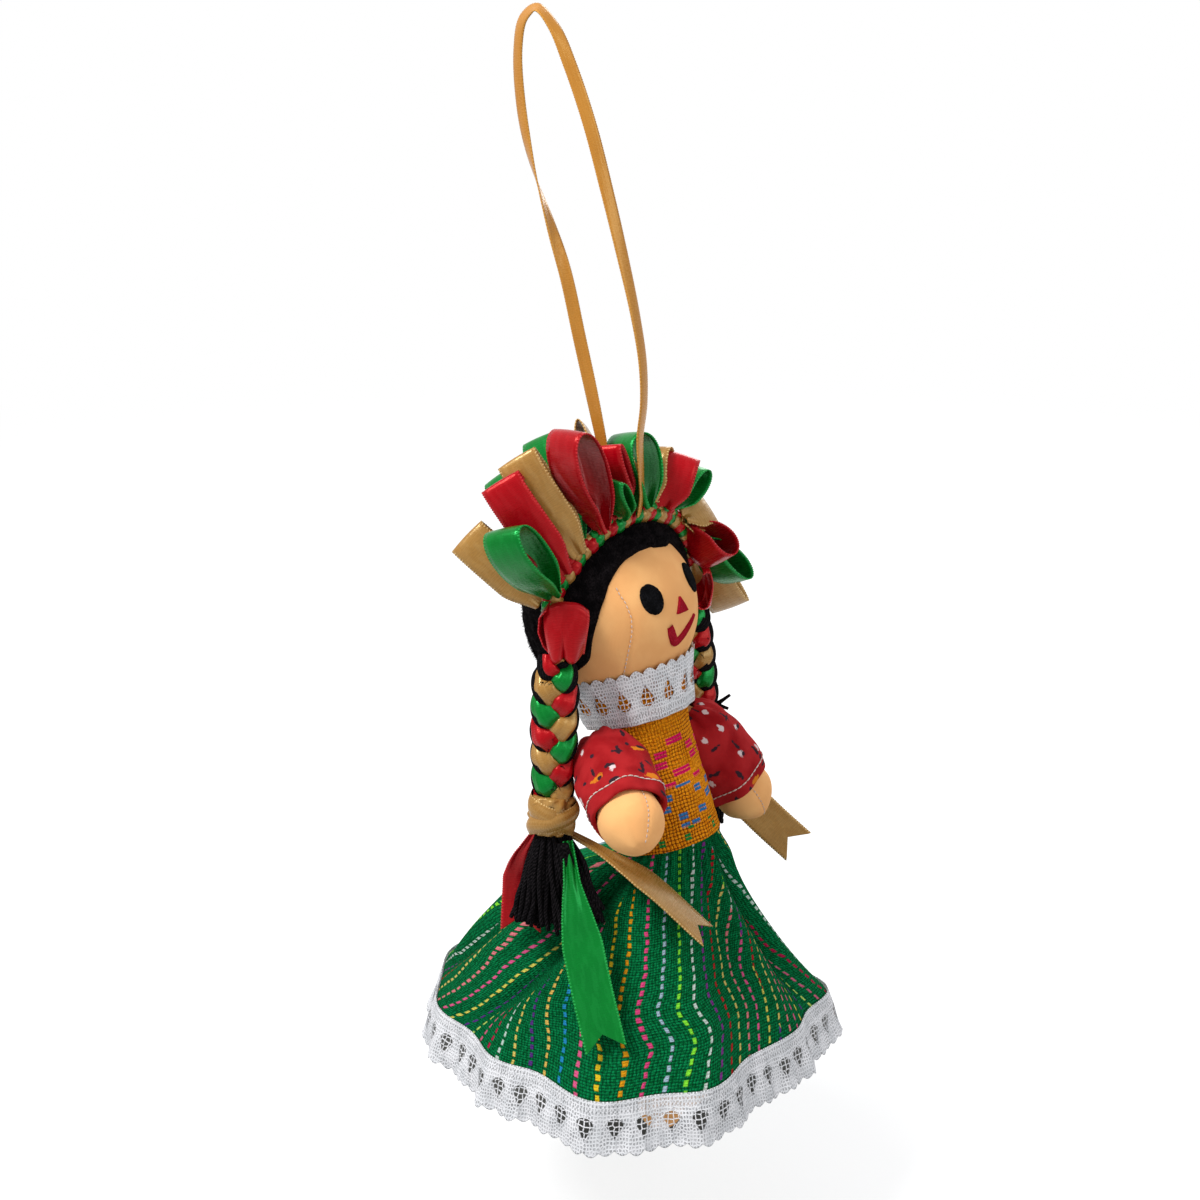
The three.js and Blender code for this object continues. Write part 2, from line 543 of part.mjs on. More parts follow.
// Arms and sleeves: built along their own axis, then pointed from the shoulder
const armProfile = [
  [-3, 0, 0],
  [-2, 2.6, 2.6],
  [1, 4.2, 4.2],
  [8, 5.4, 5.4],
  [17, HAND_RADIUS - 1.3, HAND_RADIUS - 1.3],
  [ARM_LENGTH - 2, HAND_RADIUS, HAND_RADIUS],
  [ARM_LENGTH + 3.4, HAND_RADIUS * 0.84, HAND_RADIUS * 0.84],
  [ARM_LENGTH + 6.4, HAND_RADIUS * 0.48, HAND_RADIUS * 0.48],
  [ARM_LENGTH + HAND_RADIUS, 0, 0],
];
const sleeveProfile = [
  [-2.4, SLEEVE_RADIUS * 0.36, SLEEVE_RADIUS * 0.36],
  [0.6, SLEEVE_RADIUS * 0.62, SLEEVE_RADIUS * 0.62],
  [6, SLEEVE_RADIUS * 0.9, SLEEVE_RADIUS * 0.9],
  [12, SLEEVE_RADIUS, SLEEVE_RADIUS],
  [18, SLEEVE_RADIUS * 0.98, SLEEVE_RADIUS * 0.98],
  [SLEEVE_LENGTH, SLEEVE_RADIUS * 0.92, SLEEVE_RADIUS * 0.92],
];
// Hollow limb: an outer and an inner cup, open at the shoulder end by a small round seam hole
function limb(profile, segments) {
  const mouth = profile[1];
  const inner = shrink(profile.slice(1), CLOTH);
  inner[0] = [mouth[0], mouth[1] - CLOTH, mouth[2] - CLOTH];
  return loft([
    ...profileRings(segments, profile.slice(1)).toReversed(),
    ...profileRings(segments, inner),
  ]);
}
function limbFilling(profile, segments) {
  const filled = shrink(profile.slice(1), CLOTH + SEAT_GAP);
  filled[filled.length - 1] = [profile.at(-1)[0] - CLOTH - SEAT_GAP, 0, 0];
  return loft(profileRings(segments, filled));
}
function arm(name, sideSign, { reach, drop, forward, down }) {
  const group = new THREE.Group();
  group.position.set(sideSign * reach, 0, -drop).applyEuler(torso.rotation).add(neck);
  const direction = vec(
    sideSign * Math.cos(rad(down)) * Math.cos(rad(forward)),
    -Math.cos(rad(down)) * Math.sin(rad(forward)),
    -Math.sin(rad(down)),
  );
  group.quaternion.setFromUnitVectors(vec(0, 0, 1), direction);
  doll.add(group);
  piece(`arm_${name}`, limb(armProfile, 14), 'skin', 0.85, group);
  piece(`arm_stuffing_${name}`, limbFilling(armProfile, 10), 'filling', 0.95, group);
  piece(`sleeve_${name}`, loft([
    ...profileRings(18, sleeveProfile),
    ...profileRings(18, shrink(sleeveProfile, CLOTH)).toReversed(),
  ], true), 'cotton', 0.9, group);
}
arm('right', -1, RIGHT_ARM);
arm('left', 1, LEFT_ARM);

// Skirt: a gathered bell from the waist to the hem. Angles run from the front towards the doll's right.
const SKIRT_SEGMENTS = 60;
const hemShift = new THREE.CatmullRomCurve3(HEM_SHIFTS.map((shift, i) => vec(i, shift, 0)), true);
const waistHalfX = CHEST_HALF_WIDTH * 0.95 + SEAT_GAP + SKIRT_CLOTH;
const waistHalfY = CHEST_HALF_DEPTH * 0.97 + SEAT_GAP + SKIRT_CLOTH;
const onTorso = (x, y, z) => vec(x, y, z).applyEuler(torso.rotation).add(neck);
const skirtTop = onTorso(0, 0, -WAIST_LEVEL - 1.5);
const skirtPoint = (angle, t, inset, extraRadius = 0) => {
  const hollow = (1 + Math.cos(angle + rad(HOLLOW_SIDE))) / 2;
  const swell = t ** lerp(0.85, 2.1, hollow);
  const shift = hemShift.getPoint(angle / (2 * Math.PI)).y;
  const fold = FOLD_DEPTH * Math.cos(FOLDS * angle) * t;
  const radiusX = lerp(waistHalfX, HEM_RADIUS + shift, swell) + fold - inset + extraRadius;
  const radiusY = lerp(waistHalfY, HEM_RADIUS + shift, swell) + fold - inset + extraRadius;
  const tilt = rad(TORSO_LEAN) * (1 - t);
  const y = -radiusY * Math.cos(angle);
  return vec(
    -radiusX * Math.sin(angle),
    skirtTop.y * (1 - t ** 1.5) + y * Math.cos(tilt),
    lerp(skirtTop.z, HEM_HEIGHT, t) - y * Math.sin(tilt),
  );
};
const skirtRing = (t, inset, extraRadius, lower = 0) => Array.from({ length: SKIRT_SEGMENTS }, (_, i) => (
  skirtPoint((2 * Math.PI * i) / SKIRT_SEGMENTS, t, inset, extraRadius).sub(vec(0, 0, lower))));
const waistRing = (inset) => Array.from({ length: SKIRT_SEGMENTS }, (_, i) => {
  const angle = (2 * Math.PI * i) / SKIRT_SEGMENTS;
  const x = -(waistHalfX - inset) * Math.sin(angle);
  return onTorso(x, -(waistHalfY - inset) * Math.cos(angle), -WAIST_LEVEL + SKIRT_TUCK);
});
const skirtStations = [0, 0.1, 0.22, 0.36, 0.54, 0.74, 0.9, 1];
const slopeInset = SKIRT_CLOTH * 1.35;
piece('skirt', loft([
  waistRing(0),
  ...skirtStations.map((t) => skirtRing(t, 0, 0)),
  ...skirtStations.toReversed().map((t) => skirtRing(t, t === 0 ? SKIRT_CLOTH : slopeInset, 0)),
  waistRing(SKIRT_CLOTH),
], true), 'skirt', 0.95);

// Lace: gathered on the hem and falling from it, a little wider at its free edge
const laceStations = [0, 0.5, 1];
const laceStart = SEAT_GAP + 0.1;
piece('hem_lace', loft([
  ...laceStations.map((s) => skirtRing(1, 0, s * LACE_FLARE, laceStart + s * (LACE_DROP - laceStart))),
  ...laceStations.toReversed().map((s) => (
    skirtRing(1, LACE, s * LACE_FLARE, laceStart + s * (LACE_DROP - laceStart)))),
], true), 'white', 0.95);

// Legs: hang straight down inside the skirt from the underside of the body
const hipLevel = -TORSO_LENGTH + HIP_RISE * LEG_HALF_SPAN / (CHEST_HALF_WIDTH * HIP_SHARE);
function leg(name, sideSign) {
  const group = new THREE.Group();
  group.position.copy(onTorso(sideSign * LEG_HALF_SPAN, 0, hipLevel));
  group.rotation.x = Math.PI;
  doll.add(group);
  const profile = [
    [0, 0, 0],
    [SEAT_GAP * 2, LEG_RADIUS * 0.24, LEG_RADIUS * 0.24],
    [3.4, LEG_RADIUS * 0.7, LEG_RADIUS * 0.7],
    [8, LEG_RADIUS * 0.95, LEG_RADIUS * 0.95],
    [LEG_LENGTH * 0.35, LEG_RADIUS, LEG_RADIUS],
    [LEG_LENGTH * 0.75, LEG_RADIUS * 0.92, LEG_RADIUS * 0.92],
    [LEG_LENGTH - FOOT_RADIUS, FOOT_RADIUS, FOOT_RADIUS],
    [LEG_LENGTH - FOOT_RADIUS * 0.3, FOOT_RADIUS * 0.7, FOOT_RADIUS * 0.7],
    [LEG_LENGTH, 0, 0],
  ];
  piece(`leg_${name}`, limb(profile, 12), 'skin', 0.85, group);
  piece(`leg_stuffing_${name}`, limbFilling(profile, 8), 'filling', 0.95, group);
}
leg('right', -1);
leg('left', 1);

// Braids: each hangs from its ear, with a tie, a tassel of yarn ends and three ribbon tails
function braid(name, sideSign, shape) {
  const top = vec(...shape.top);
  const group = new THREE.Group();
  group.position.copy(top);
  group.rotation.y = -sideSign * rad(shape.lean);
  doll.add(group);
  const braidProfile = [
    [0, BRAID_RADIUS * 0.62, BRAID_RADIUS * 0.62],
    [-3, BRAID_RADIUS * 0.82, BRAID_RADIUS * 0.82],
    [-9, BRAID_RADIUS, BRAID_RADIUS],
    [-BRAID_LENGTH * 0.6, BRAID_RADIUS, BRAID_RADIUS],
    [-BRAID_LENGTH, BRAID_RADIUS * 0.92, BRAID_RADIUS * 0.92],
  ];
  piece(`braid_${name}`, loft(profileRings(12, braidProfile)), 'hair', 0.9, group);
  const tieTop = -BRAID_LENGTH - SEAT_GAP;
  const tieProfile = [
    [tieTop, TIE_RADIUS * 0.9, TIE_RADIUS * 0.9],
    [tieTop - 2, TIE_RADIUS, TIE_RADIUS],
    [tieTop - TIE_LENGTH * 0.7, TIE_RADIUS * 0.95, TIE_RADIUS * 0.95],
    [tieTop - TIE_LENGTH, TIE_RADIUS * 0.7, TIE_RADIUS * 0.7],
  ];
  piece(`braid_tie_${name}`, loft(profileRings(12, tieProfile)), 'gold', 0.4, group);
  const tasselTop = tieTop - TIE_LENGTH - SEAT_GAP;
  const tasselProfile = [
    [-0.5, 3.4, 3],
    [-6, 5.4, 3.6],
    [-TASSEL_LENGTH * 0.65, TASSEL_HALF_WIDTH * 0.82, TASSEL_HALF_DEPTH],
    [-TASSEL_LENGTH, TASSEL_HALF_WIDTH, TASSEL_HALF_DEPTH * 0.9],
  ];
  const ends = new THREE.Group();
  ends.position.set(0, 0, tasselTop).applyEuler(group.rotation).add(top);
  doll.add(ends);
  const tassel = new THREE.Group();
  tassel.rotation.set(-rad(shape.forward), -sideSign * rad(shape.outward), sideSign * rad(shape.facing));
  ends.add(tassel);
  piece(`braid_tassel_${name}`, loft(profileRings(14, tasselProfile)), 'hair', 1, tassel);
  shape.tails.forEach(({ colour, line, across }) => {
    const points = smoothLine(line.map(([x, y, z]) => vec(sideSign * x, y, z)), 9);
    const directions = points.map(() => vec(sideSign * across[0], across[1], across[2]));
    const widths = points.map((_, i) => RIBBON_WIDTH * Math.min(1, 0.35 + 0.16 * i));
    const strip = ribbon(points, directions, widths, SATIN, TIP_NOTCH);
    piece(`braid_tail_${colour}_${name}`, strip, colour, 0.35, ends);
  });
}

braid('right', -1, RIGHT_BRAID);
braid('left', 1, LEFT_BRAID);

export default doll;
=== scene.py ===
"""A hanging cloth doll with a ribbon headdress, braids, a striped skirt and lace, set up for a photograph."""
import math
from math import pi, tau

import bpy
import numpy as np
from mathutils import Matrix


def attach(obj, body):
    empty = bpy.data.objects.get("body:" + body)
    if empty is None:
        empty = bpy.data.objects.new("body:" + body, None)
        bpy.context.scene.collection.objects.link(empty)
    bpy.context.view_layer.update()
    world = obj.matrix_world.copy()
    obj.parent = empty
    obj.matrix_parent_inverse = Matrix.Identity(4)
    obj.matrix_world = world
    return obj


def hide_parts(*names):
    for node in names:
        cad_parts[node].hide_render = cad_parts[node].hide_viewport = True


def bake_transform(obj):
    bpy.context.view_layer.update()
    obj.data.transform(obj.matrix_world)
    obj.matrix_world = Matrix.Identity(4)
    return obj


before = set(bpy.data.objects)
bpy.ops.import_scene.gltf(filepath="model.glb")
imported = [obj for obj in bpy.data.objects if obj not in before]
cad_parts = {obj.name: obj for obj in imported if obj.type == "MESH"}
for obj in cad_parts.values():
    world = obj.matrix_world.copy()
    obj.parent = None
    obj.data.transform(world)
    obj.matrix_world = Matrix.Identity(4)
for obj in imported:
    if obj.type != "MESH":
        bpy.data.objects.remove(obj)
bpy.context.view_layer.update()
random = np.random.default_rng(11)

# Sizes in mm, in the doll's own frame: the hem's ring lies at height zero, +X is its left, -Y its front
LOOP_TOP = np.array((-3.0, 26.5, 265.5))
HEAD_CENTRE = np.array((0.0, 7.8, 119.2))
HEAD_RADIUS = 22.5
HEAD_PITCH = 20.0
HEAD_BACK_DEPTH = 0.82
SEAM_GAP = 0.35
TORSO_LEAN = 17.5
FAN_TILT, FAN_TURN, FAN_FORWARD, FAN_END = 12.0, 8.0, 2.0, 73.0
CORD_RADIUS = 26.45
LOOP_SEAT = 28.85
RIBBON_WIDTH = 10.0
HANGER_WIDTH, HANGER_STOCK_WIDTH = 3.05, 3.0
WAIST_X, WAIST_Y, WAIST_DROP = 12.17, 11.63, 38.5
HEM_RADIUS = 51.0
HEM_HEIGHT = 13.5
SKIRT_LENGTH = 62.0
STRIPE_PITCH = HEM_RADIUS * tau / 70
LACE_WIDTH = 13.5
LACE_REPEAT = 6.8
COLLAR_REPEATS, HEM_REPEATS = 16, 51
BRAID_LENGTH = 34.5
BRAID_PERIOD = 18.4
TIE_HEIGHT = 10.0


def metres(points):
    return (np.asarray(points, float) - LOOP_TOP) / 1000.0


def sind(degrees):
    return np.sin(np.radians(degrees))


def cosd(degrees):
    return np.cos(np.radians(degrees))


def turn_x(degrees):
    c, s = cosd(degrees), sind(degrees)
    return np.array(((1, 0, 0), (0, c, -s), (0, s, c)))


def turn_y(degrees):
    c, s = cosd(degrees), sind(degrees)
    return np.array(((c, 0, s), (0, 1, 0), (-s, 0, c)))


def turn_z(degrees):
    c, s = cosd(degrees), sind(degrees)
    return np.array(((c, -s, 0), (s, c, 0), (0, 0, 1)))


HEAD_TURN = turn_x(-HEAD_PITCH)
TORSO_TURN = turn_x(-TORSO_LEAN)
NECK = HEAD_CENTRE + HEAD_TURN @ np.array((0, 0, -(HEAD_RADIUS + SEAM_GAP)))
FAN_CENTRE = HEAD_CENTRE - np.array((0, FAN_FORWARD, 0))
FAN_FRAME = turn_z(-FAN_TURN) @ turn_x(FAN_TILT)


def unit(vectors):
    vectors = np.asarray(vectors, float)
    return vectors / np.maximum(np.linalg.norm(vectors, axis=-1, keepdims=True), 1e-12)


def lerp(a, b, t):
    return a + (b - a) * t


def smoothstep(x, low, high):
    t = np.clip((np.asarray(x, float) - low) / (high - low), 0, 1)
    return t * t * (3 - 2 * t)


def bell(x, width):
    return np.exp(-((x / width) ** 2))


def circle(count):
    return np.linspace(0, tau, count, endpoint=False)


def stacked(*parts):
    """Coordinates of matching shapes as one array, with the coordinates along its last axis."""
    return np.stack(np.broadcast_arrays(*parts), axis=-1)


def smooth_line(points, count):
    """Points on a smooth line through chosen ones, evenly shared between them."""
    p = np.asarray(points, float)
    p = np.vstack((2 * p[0] - p[1], p, 2 * p[-1] - p[-2]))
    steps = np.linalg.norm(np.diff(p, axis=0), axis=1) ** 0.5
    knots = np.concatenate(([0], np.cumsum(steps)))
    out = []
    for share in np.linspace(0, len(p) - 3, count):
        i = min(int(share), len(p) - 4)
        t0, t1, t2, t3 = knots[i : i + 4]
        t = t1 + (share - i) * (t2 - t1)
        a1 = ((t1 - t) * p[i] + (t - t0) * p[i + 1]) / (t1 - t0)
        a2 = ((t2 - t) * p[i + 1] + (t - t1) * p[i + 2]) / (t2 - t1)
        a3 = ((t3 - t) * p[i + 2] + (t - t2) * p[i + 3]) / (t3 - t2)
        b1 = ((t2 - t) * a1 + (t - t0) * a2) / (t2 - t0)
        b2 = ((t3 - t) * a2 + (t - t1) * a3) / (t3 - t1)
        out.append(((t2 - t) * b1 + (t - t1) * b2) / (t2 - t1))
    return np.array(out)


def lengths_along(line):
    return np.concatenate(([0], np.cumsum(np.linalg.norm(np.diff(line, axis=0), axis=1))))


def sample(values, places, at):
    """Values given at places along a line, read at other places; at may have any shape."""
    values = np.asarray(values, float)
    if values.ndim == 1:
        return np.interp(at, places, values)
    return np.stack([np.interp(at, places, values[:, k]) for k in range(values.shape[1])], axis=-1)


def ripple(x, y, seed, size):
    """Smooth unevenness between about -1 and 1, of a given size in mm, over two coordinates."""
    rng = np.random.default_rng(seed)
    total = np.zeros(np.broadcast(x, y).shape)
    for k in range(6):
        angle = rng.uniform(0, tau)
        pitch = size * rng.uniform(0.7, 1.6)
        along = (x * math.cos(angle) + y * math.sin(angle)) * tau / pitch
        total = total + np.sin(along + rng.uniform(0, tau))
    return total / 3.5


class Cloth:
    """Grids of points joined into one mesh, with texture coordinates in mm."""

    def __init__(self):
        self.points, self.faces, self.corners, self.slots = [], [], [], []
        self.count = 0

    def grid(self, points, uv, around=False, caps=(False, False), slot=0):
        """uv has one more column than points where the grid goes around."""
        rows, columns = points.shape[:2]
        uv = np.asarray(uv, float)
        wide = columns + (1 if around else 0)
        index = self.count + np.arange(rows * columns).reshape(rows, columns)
        if around:
            index = np.hstack((index, index[:, :1]))
        faces = np.stack((index[:-1, :-1], index[:-1, 1:], index[1:, 1:], index[1:, :-1]), axis=-1)
        corners = np.stack((uv[:-1, : wide - 1], uv[:-1, 1:wide], uv[1:, 1:wide], uv[1:, : wide - 1]), axis=2)
        self.points.append(points.reshape(-1, 3))
        self.faces.extend(faces.reshape(-1, 4).tolist())
        self.corners.append(corners.reshape(-1, 2))
        self.slots.extend([slot] * (faces.shape[0] * faces.shape[1]))
        self.count += rows * columns
        for end, wanted in zip((0, rows - 1), caps):
            if not wanted:
                continue
            self.points.append(points[end].mean(axis=0)[None])
            middle = uv[end].mean(axis=0)
            for k in range(wide - 1):
                first, second = (k + 1, k) if end == 0 else (k, k + 1)
                self.faces.append([int(self.count), int(index[end, first]), int(index[end, second])])
                self.corners.append(np.array((middle, uv[end, first], uv[end, second])))
                self.slots.append(slot)
            self.count += 1
        return self

    def build(self, name, materials, body, slot, replaces=(), thickness=None):
        mesh = bpy.data.meshes.new(name)
        mesh.from_pydata(metres(np.vstack(self.points)).tolist(), [], self.faces)
        layer = mesh.uv_layers.new(name="UVMap")
        layer.data.foreach_set("uv", np.vstack(self.corners).astype(np.float32).ravel())
        for material in materials:
            mesh.materials.append(material)
        mesh.polygons.foreach_set("material_index", self.slots)
        mesh.polygons.foreach_set("use_smooth", [True] * len(self.slots))
        mesh.update()
        piece = bpy.data.objects.new(name, mesh)
        bpy.context.scene.collection.objects.link(piece)
        if thickness:
            wall = piece.modifiers.new("wall", "SOLIDIFY")
            wall.thickness = thickness / 1000
            wall.offset = 0
        if body:
            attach(piece, body)
        if replaces:
            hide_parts(*replaces)
        return piece


ANY_UP = np.array((0.31, 0.2, 0.93))


def tube(cloth, line, radius, segments=8, flatten=1.0, up=ANY_UP, slot=0, v0=0.0, span=None, flute=0.0):
    """A tube along points. flatten thins it along its up direction, and flute creases it. Its texture runs in
    mm around, or from -span to span and back."""
    line = np.asarray(line, float)
    along = unit(np.gradient(line, axis=0))
    side = unit(np.cross(along, np.broadcast_to(np.asarray(up, float), line.shape)))
    rise = unit(np.cross(side, along))
    angle = circle(segments)
    radius = np.broadcast_to(np.asarray(radius, float), (len(line),))
    creases = 1 + flute * np.cos(5 * angle + 0.7)
    ring = radius[:, None, None] * creases[None, :, None] * (
        np.cos(angle)[None, :, None] * side[:, None] + flatten * np.sin(angle)[None, :, None] * rise[:, None]
    )
    v = v0 + lengths_along(line)
    u = np.linspace(0, 1, segments + 1)
    u = u * tau * radius.mean() if span is None else span * np.cos(u * tau)
    cloth.grid(line[:, None] + ring, stacked(u[None], v[:, None]), around=True, caps=(True, True), slot=slot)


def strip(cloth, line, across, widths, step=0.3, columns=9, cup=0.0, notch=0.0, picot=0.22, pleat=0.0):
    """A ribbon along points, with a texture from -1 to 1 across and in mm along. cup bows its section, pleat
    folds it where it is narrower than its full width, and notch cuts its far end to a swallow tail."""
    line = np.asarray(line, float)
    places = lengths_along(line)
    across = np.broadcast_to(np.asarray(across, float), line.shape)
    widths = np.broadcast_to(np.asarray(widths, float), (len(line),))
    rows = max(8, int(places[-1] / step))
    x = np.linspace(-1, 1, columns)
    at = np.linspace(0, 1, rows)[:, None] * (places[-1] - notch * (1 - np.abs(x)))[None, :]
    tangent = unit(sample(unit(np.gradient(line, axis=0)), places, at))
    wide = sample(across, places, at)
    wide = unit(wide - tangent * (wide * tangent).sum(-1, keepdims=True))
    normal = np.cross(tangent, wide)
    width = sample(widths, places, at)
    edge = picot * (np.arange(rows)[:, None] % 2) * (np.abs(x)[None] > 0.99)
    bow = cup * (x**2)[None] + pleat * (1 - width / widths.max()) * np.cos(x * tau * 0.75)[None]
    points = (
        sample(line, places, at)
        + wide * ((width / 2 + edge) * x[None])[..., None]
        + normal * bow[..., None]
    )
    cloth.grid(points, stacked(x[None], at))


def stitches(cloth, line, normals, length, gap, radius):
    """Short raised threads along a line."""
    places = lengths_along(line)
    at = 0.0
    while at + length < places[-1]:
        shares = at + np.linspace(0, length, 5)
        out = unit(sample(normals, places, shares))
        hump = 0.05 + 0.12 * np.sin(np.linspace(0, pi, 5))
        points = sample(line, places, shares) + out * hump[:, None]
        tube(cloth, points, radius * np.array((0.5, 1, 1, 1, 0.5)), 5, up=out)
        at += length + gap


class Value:
    """A number in a material's nodes, written in sums as usual."""

    def __init__(self, nodes, socket):
        self.nodes, self.socket = nodes, socket

    def apply(self, operation, *others):
        return self.nodes.math(operation, self, *others)

    def __add__(self, other):
        return self.apply("ADD", other)

    def __mul__(self, other):
        return self.apply("MULTIPLY", other)

    def __sub__(self, other):
        return self.apply("SUBTRACT", other)

    def __rsub__(self, other):
        return self.nodes.math("SUBTRACT", other, self)

    def __truediv__(self, other):
        return self.apply("DIVIDE", other)

    def __abs__(self):
        return self.apply("ABSOLUTE")

    __radd__, __rmul__ = __add__, __mul__

    def ramp(self, start, end):
        """Rises softly from 0 at start to 1 at end, and end may be the lower one."""
        return Value(self.nodes, self.nodes.fed("ShaderNodeMapRange", self, start, end,
                                                interpolation_type="SMOOTHSTEP"))


class Nodes:
    """The nodes of a material or of the world."""

    def __init__(self, tree):
        self.tree = tree

    def node(self, kind, **settings):
        made = self.tree.nodes.new(kind)
        for key, value in settings.items():
            setattr(made, key, value)
        return made

    def feed(self, socket, value):
        if isinstance(value, Value):
            value = value.socket
        if isinstance(value, bpy.types.NodeSocket):
            self.tree.links.new(value, socket)
        else:
            socket.default_value = value

    def fed(self, kind, *values, **settings):
        """First output of a new node whose inputs are fed in turn."""
        made = self.node(kind, **settings)
        for socket, value in zip(made.inputs, values):
            self.feed(socket, value)
        return made.outputs[0]

    def math(self, operation, *values):
        return Value(self, self.fed("ShaderNodeMath", *values, operation=operation))

    def mix(self, factor, a, b):
        made = self.node("ShaderNodeMix", data_type="RGBA")
        self.feed(made.inputs[0], factor)
        for socket, value in ((made.inputs[6], a), (made.inputs[7], b)):
            self.feed(socket, value if isinstance(value, bpy.types.NodeSocket) else (*value, 1.0))
        return made.outputs[2]


class Look(Nodes):
    """A procedural material on one Principled shader."""

    def __init__(self, name, roughness, **sockets):
        self.material = bpy.data.materials.new(name)
        self.material.use_nodes = True
        super().__init__(self.material.node_tree)
        self.shader = self.tree.nodes["Principled BSDF"]
        self.shader.inputs["Roughness"].default_value = roughness
        for key, value in sockets.items():
            self.shader.inputs[key.replace("_", " ")].default_value = value
        where = self.node("ShaderNodeSeparateXYZ")
        self.feed(where.inputs[0], self.node("ShaderNodeTexCoord").outputs["UV"])
        self.u, self.v = Value(self, where.outputs[0]), Value(self, where.outputs[1])

    def place(self):
        return self.node("ShaderNodeTexCoord").outputs["Object"]

    def noise(self, scale, detail=2.0, vector=None):
        """Noise between 0 and 1, by the metre where no vector is given."""
        made = self.node("ShaderNodeTexNoise")
        self.feed(made.inputs["Vector"], vector or self.place())
        made.inputs["Scale"].default_value, made.inputs["Detail"].default_value = scale, detail
        return Value(self, made.outputs["Fac"]).ramp(0.35, 0.65)

    def cloth_noise(self, by_u, by_v, detail=2.0):
        """Noise between 0 and 1 over the cloth's own coordinates."""
        return self.noise(1.0, detail, self.flat(self.u * by_u, self.v * by_v))

    def flat(self, u, v):
        return self.fed("ShaderNodeCombineXYZ", u, v)

    def cells(self, vector, size, feature, randomness):
        made = self.node("ShaderNodeTexVoronoi", voronoi_dimensions="2D", feature=feature)
        self.feed(made.inputs["Vector"], vector)
        made.inputs["Scale"].default_value, made.inputs["Randomness"].default_value = 1 / size, randomness
        return made, Value(self, made.outputs["Distance"])

    def wave(self, value, pitch):
        """1 on the crest and 0 in the trough of a wave along a coordinate in mm."""
        return (value * (tau / pitch)).apply("SINE") * 0.5 + 0.5

    def finish(self, colour, height=None, strength=0.5, depth=0.0003, rough=None, alpha=None):
        self.feed(self.shader.inputs["Base Color"], colour)
        if height is not None:
            bump = self.node("ShaderNodeBump")
            bump.inputs["Strength"].default_value, bump.inputs["Distance"].default_value = strength, depth
            self.feed(bump.inputs["Height"], height)
            self.feed(self.shader.inputs["Normal"], bump.outputs[0])
        if rough is not None:
            self.feed(self.shader.inputs["Roughness"], rough)
        if alpha is not None:
            self.feed(self.shader.inputs["Alpha"], alpha)
        return self.material


def weave(u, v, pitch_u, pitch_v):
    """Height of a plain weave, and a measure of its threads that is 0 between them."""
    wave_u, wave_v = (u * (pi / pitch_u)).apply("SINE"), (v * (pi / pitch_v)).apply("SINE")
    across, down = abs(wave_u), abs(wave_v)
    over = (wave_u * wave_v).ramp(-0.25, 0.25)
    warp = across * (down * 0.35 + 0.65)
    weft = down * (across * 0.35 + 0.65)
    return warp * over + weft * (1.0 - over), across * down


def satin(name, colour, light, dark, gloss):
    look = Look(name, roughness=0.3, Specular_IOR_Level=0.9, Specular_Tint=(*gloss, 1.0))
    rim = abs(look.u).ramp(0.90, 0.96)
    beads = rim * look.wave(look.v, 0.85).ramp(0.40, 0.80)
    clouds = look.noise(110.0)
    fine = look.cloth_noise(5.0, 3.2)
    sheen_streaks = look.cloth_noise(3.4, 0.16)
    ribs = look.cloth_noise(1.6, 3.2, detail=1.0)
    tint = look.mix((clouds + fine) * 0.24, colour, dark)
    # Painted sheen: lengthwise streaks lighten the satin towards its light colour
    tint = look.mix(sheen_streaks.ramp(0.40, 0.80) * 0.07, tint, light)
    tint = look.mix(beads * 0.75, tint, light)
    height = ribs * 0.10 + beads * 1.2 + (fine * 0.2 + sheen_streaks * 0.45)
    return look.finish(tint, height, strength=0.4, depth=0.0001, rough=ribs * 0.10 + 0.22 + rim * 0.2)


def cotton(name, colour, dark):
    look = Look(name, roughness=0.9, Sheen_Weight=0.03, Sheen_Roughness=0.6, Specular_IOR_Level=0.08)
    height, gap = weave(look.u, look.v, 0.34, 0.34)
    tint = look.mix(look.noise(120.0, 3.0) * 0.45, colour, dark)
    # Painted shade: the cloth is darker in the gaps between its threads
    tint = look.mix(gap.ramp(0.35, 0.0) * 0.3, tint, dark)
    return look.finish(tint, height, strength=0.3, depth=0.00008)


def felt(name, colour, light):
    look = Look(name, roughness=1.0, Specular_IOR_Level=0.03)
    fuzz, clumps = look.noise(2600.0, 4.0), look.noise(420.0, 3.0)
    return look.finish(look.mix(fuzz * clumps, colour, light), fuzz + clumps, strength=0.7, depth=0.0003)


def yarn(name, colour, light):
    look = Look(name, roughness=0.95, Specular_IOR_Level=0.05)
    ply = look.wave(look.v + look.u * 1.3, 1.1)
    fuzz = look.noise(1900.0, 3.0)
    # Painted highlight and shade: the crests of the ply are lighter and its grooves darker
    return look.finish(look.mix(ply * fuzz, colour, light), fuzz * 0.35 + ply, strength=0.6, depth=0.00035)


def lace_reach(u):
    """Height of the lace's scalloped edge over its sewn edge, in mm."""
    return LACE_WIDTH - 1.6 + 1.15 * np.abs(np.sin(np.asarray(u, float) * tau / LACE_REPEAT))


# The lace's drops: height of their widest place, and their reach below, above and beside it
DROP_MIDDLE, DROP_FOOT, DROP_TIP, DROP_HALF = 5.9, 1.75, 3.7, 2.15


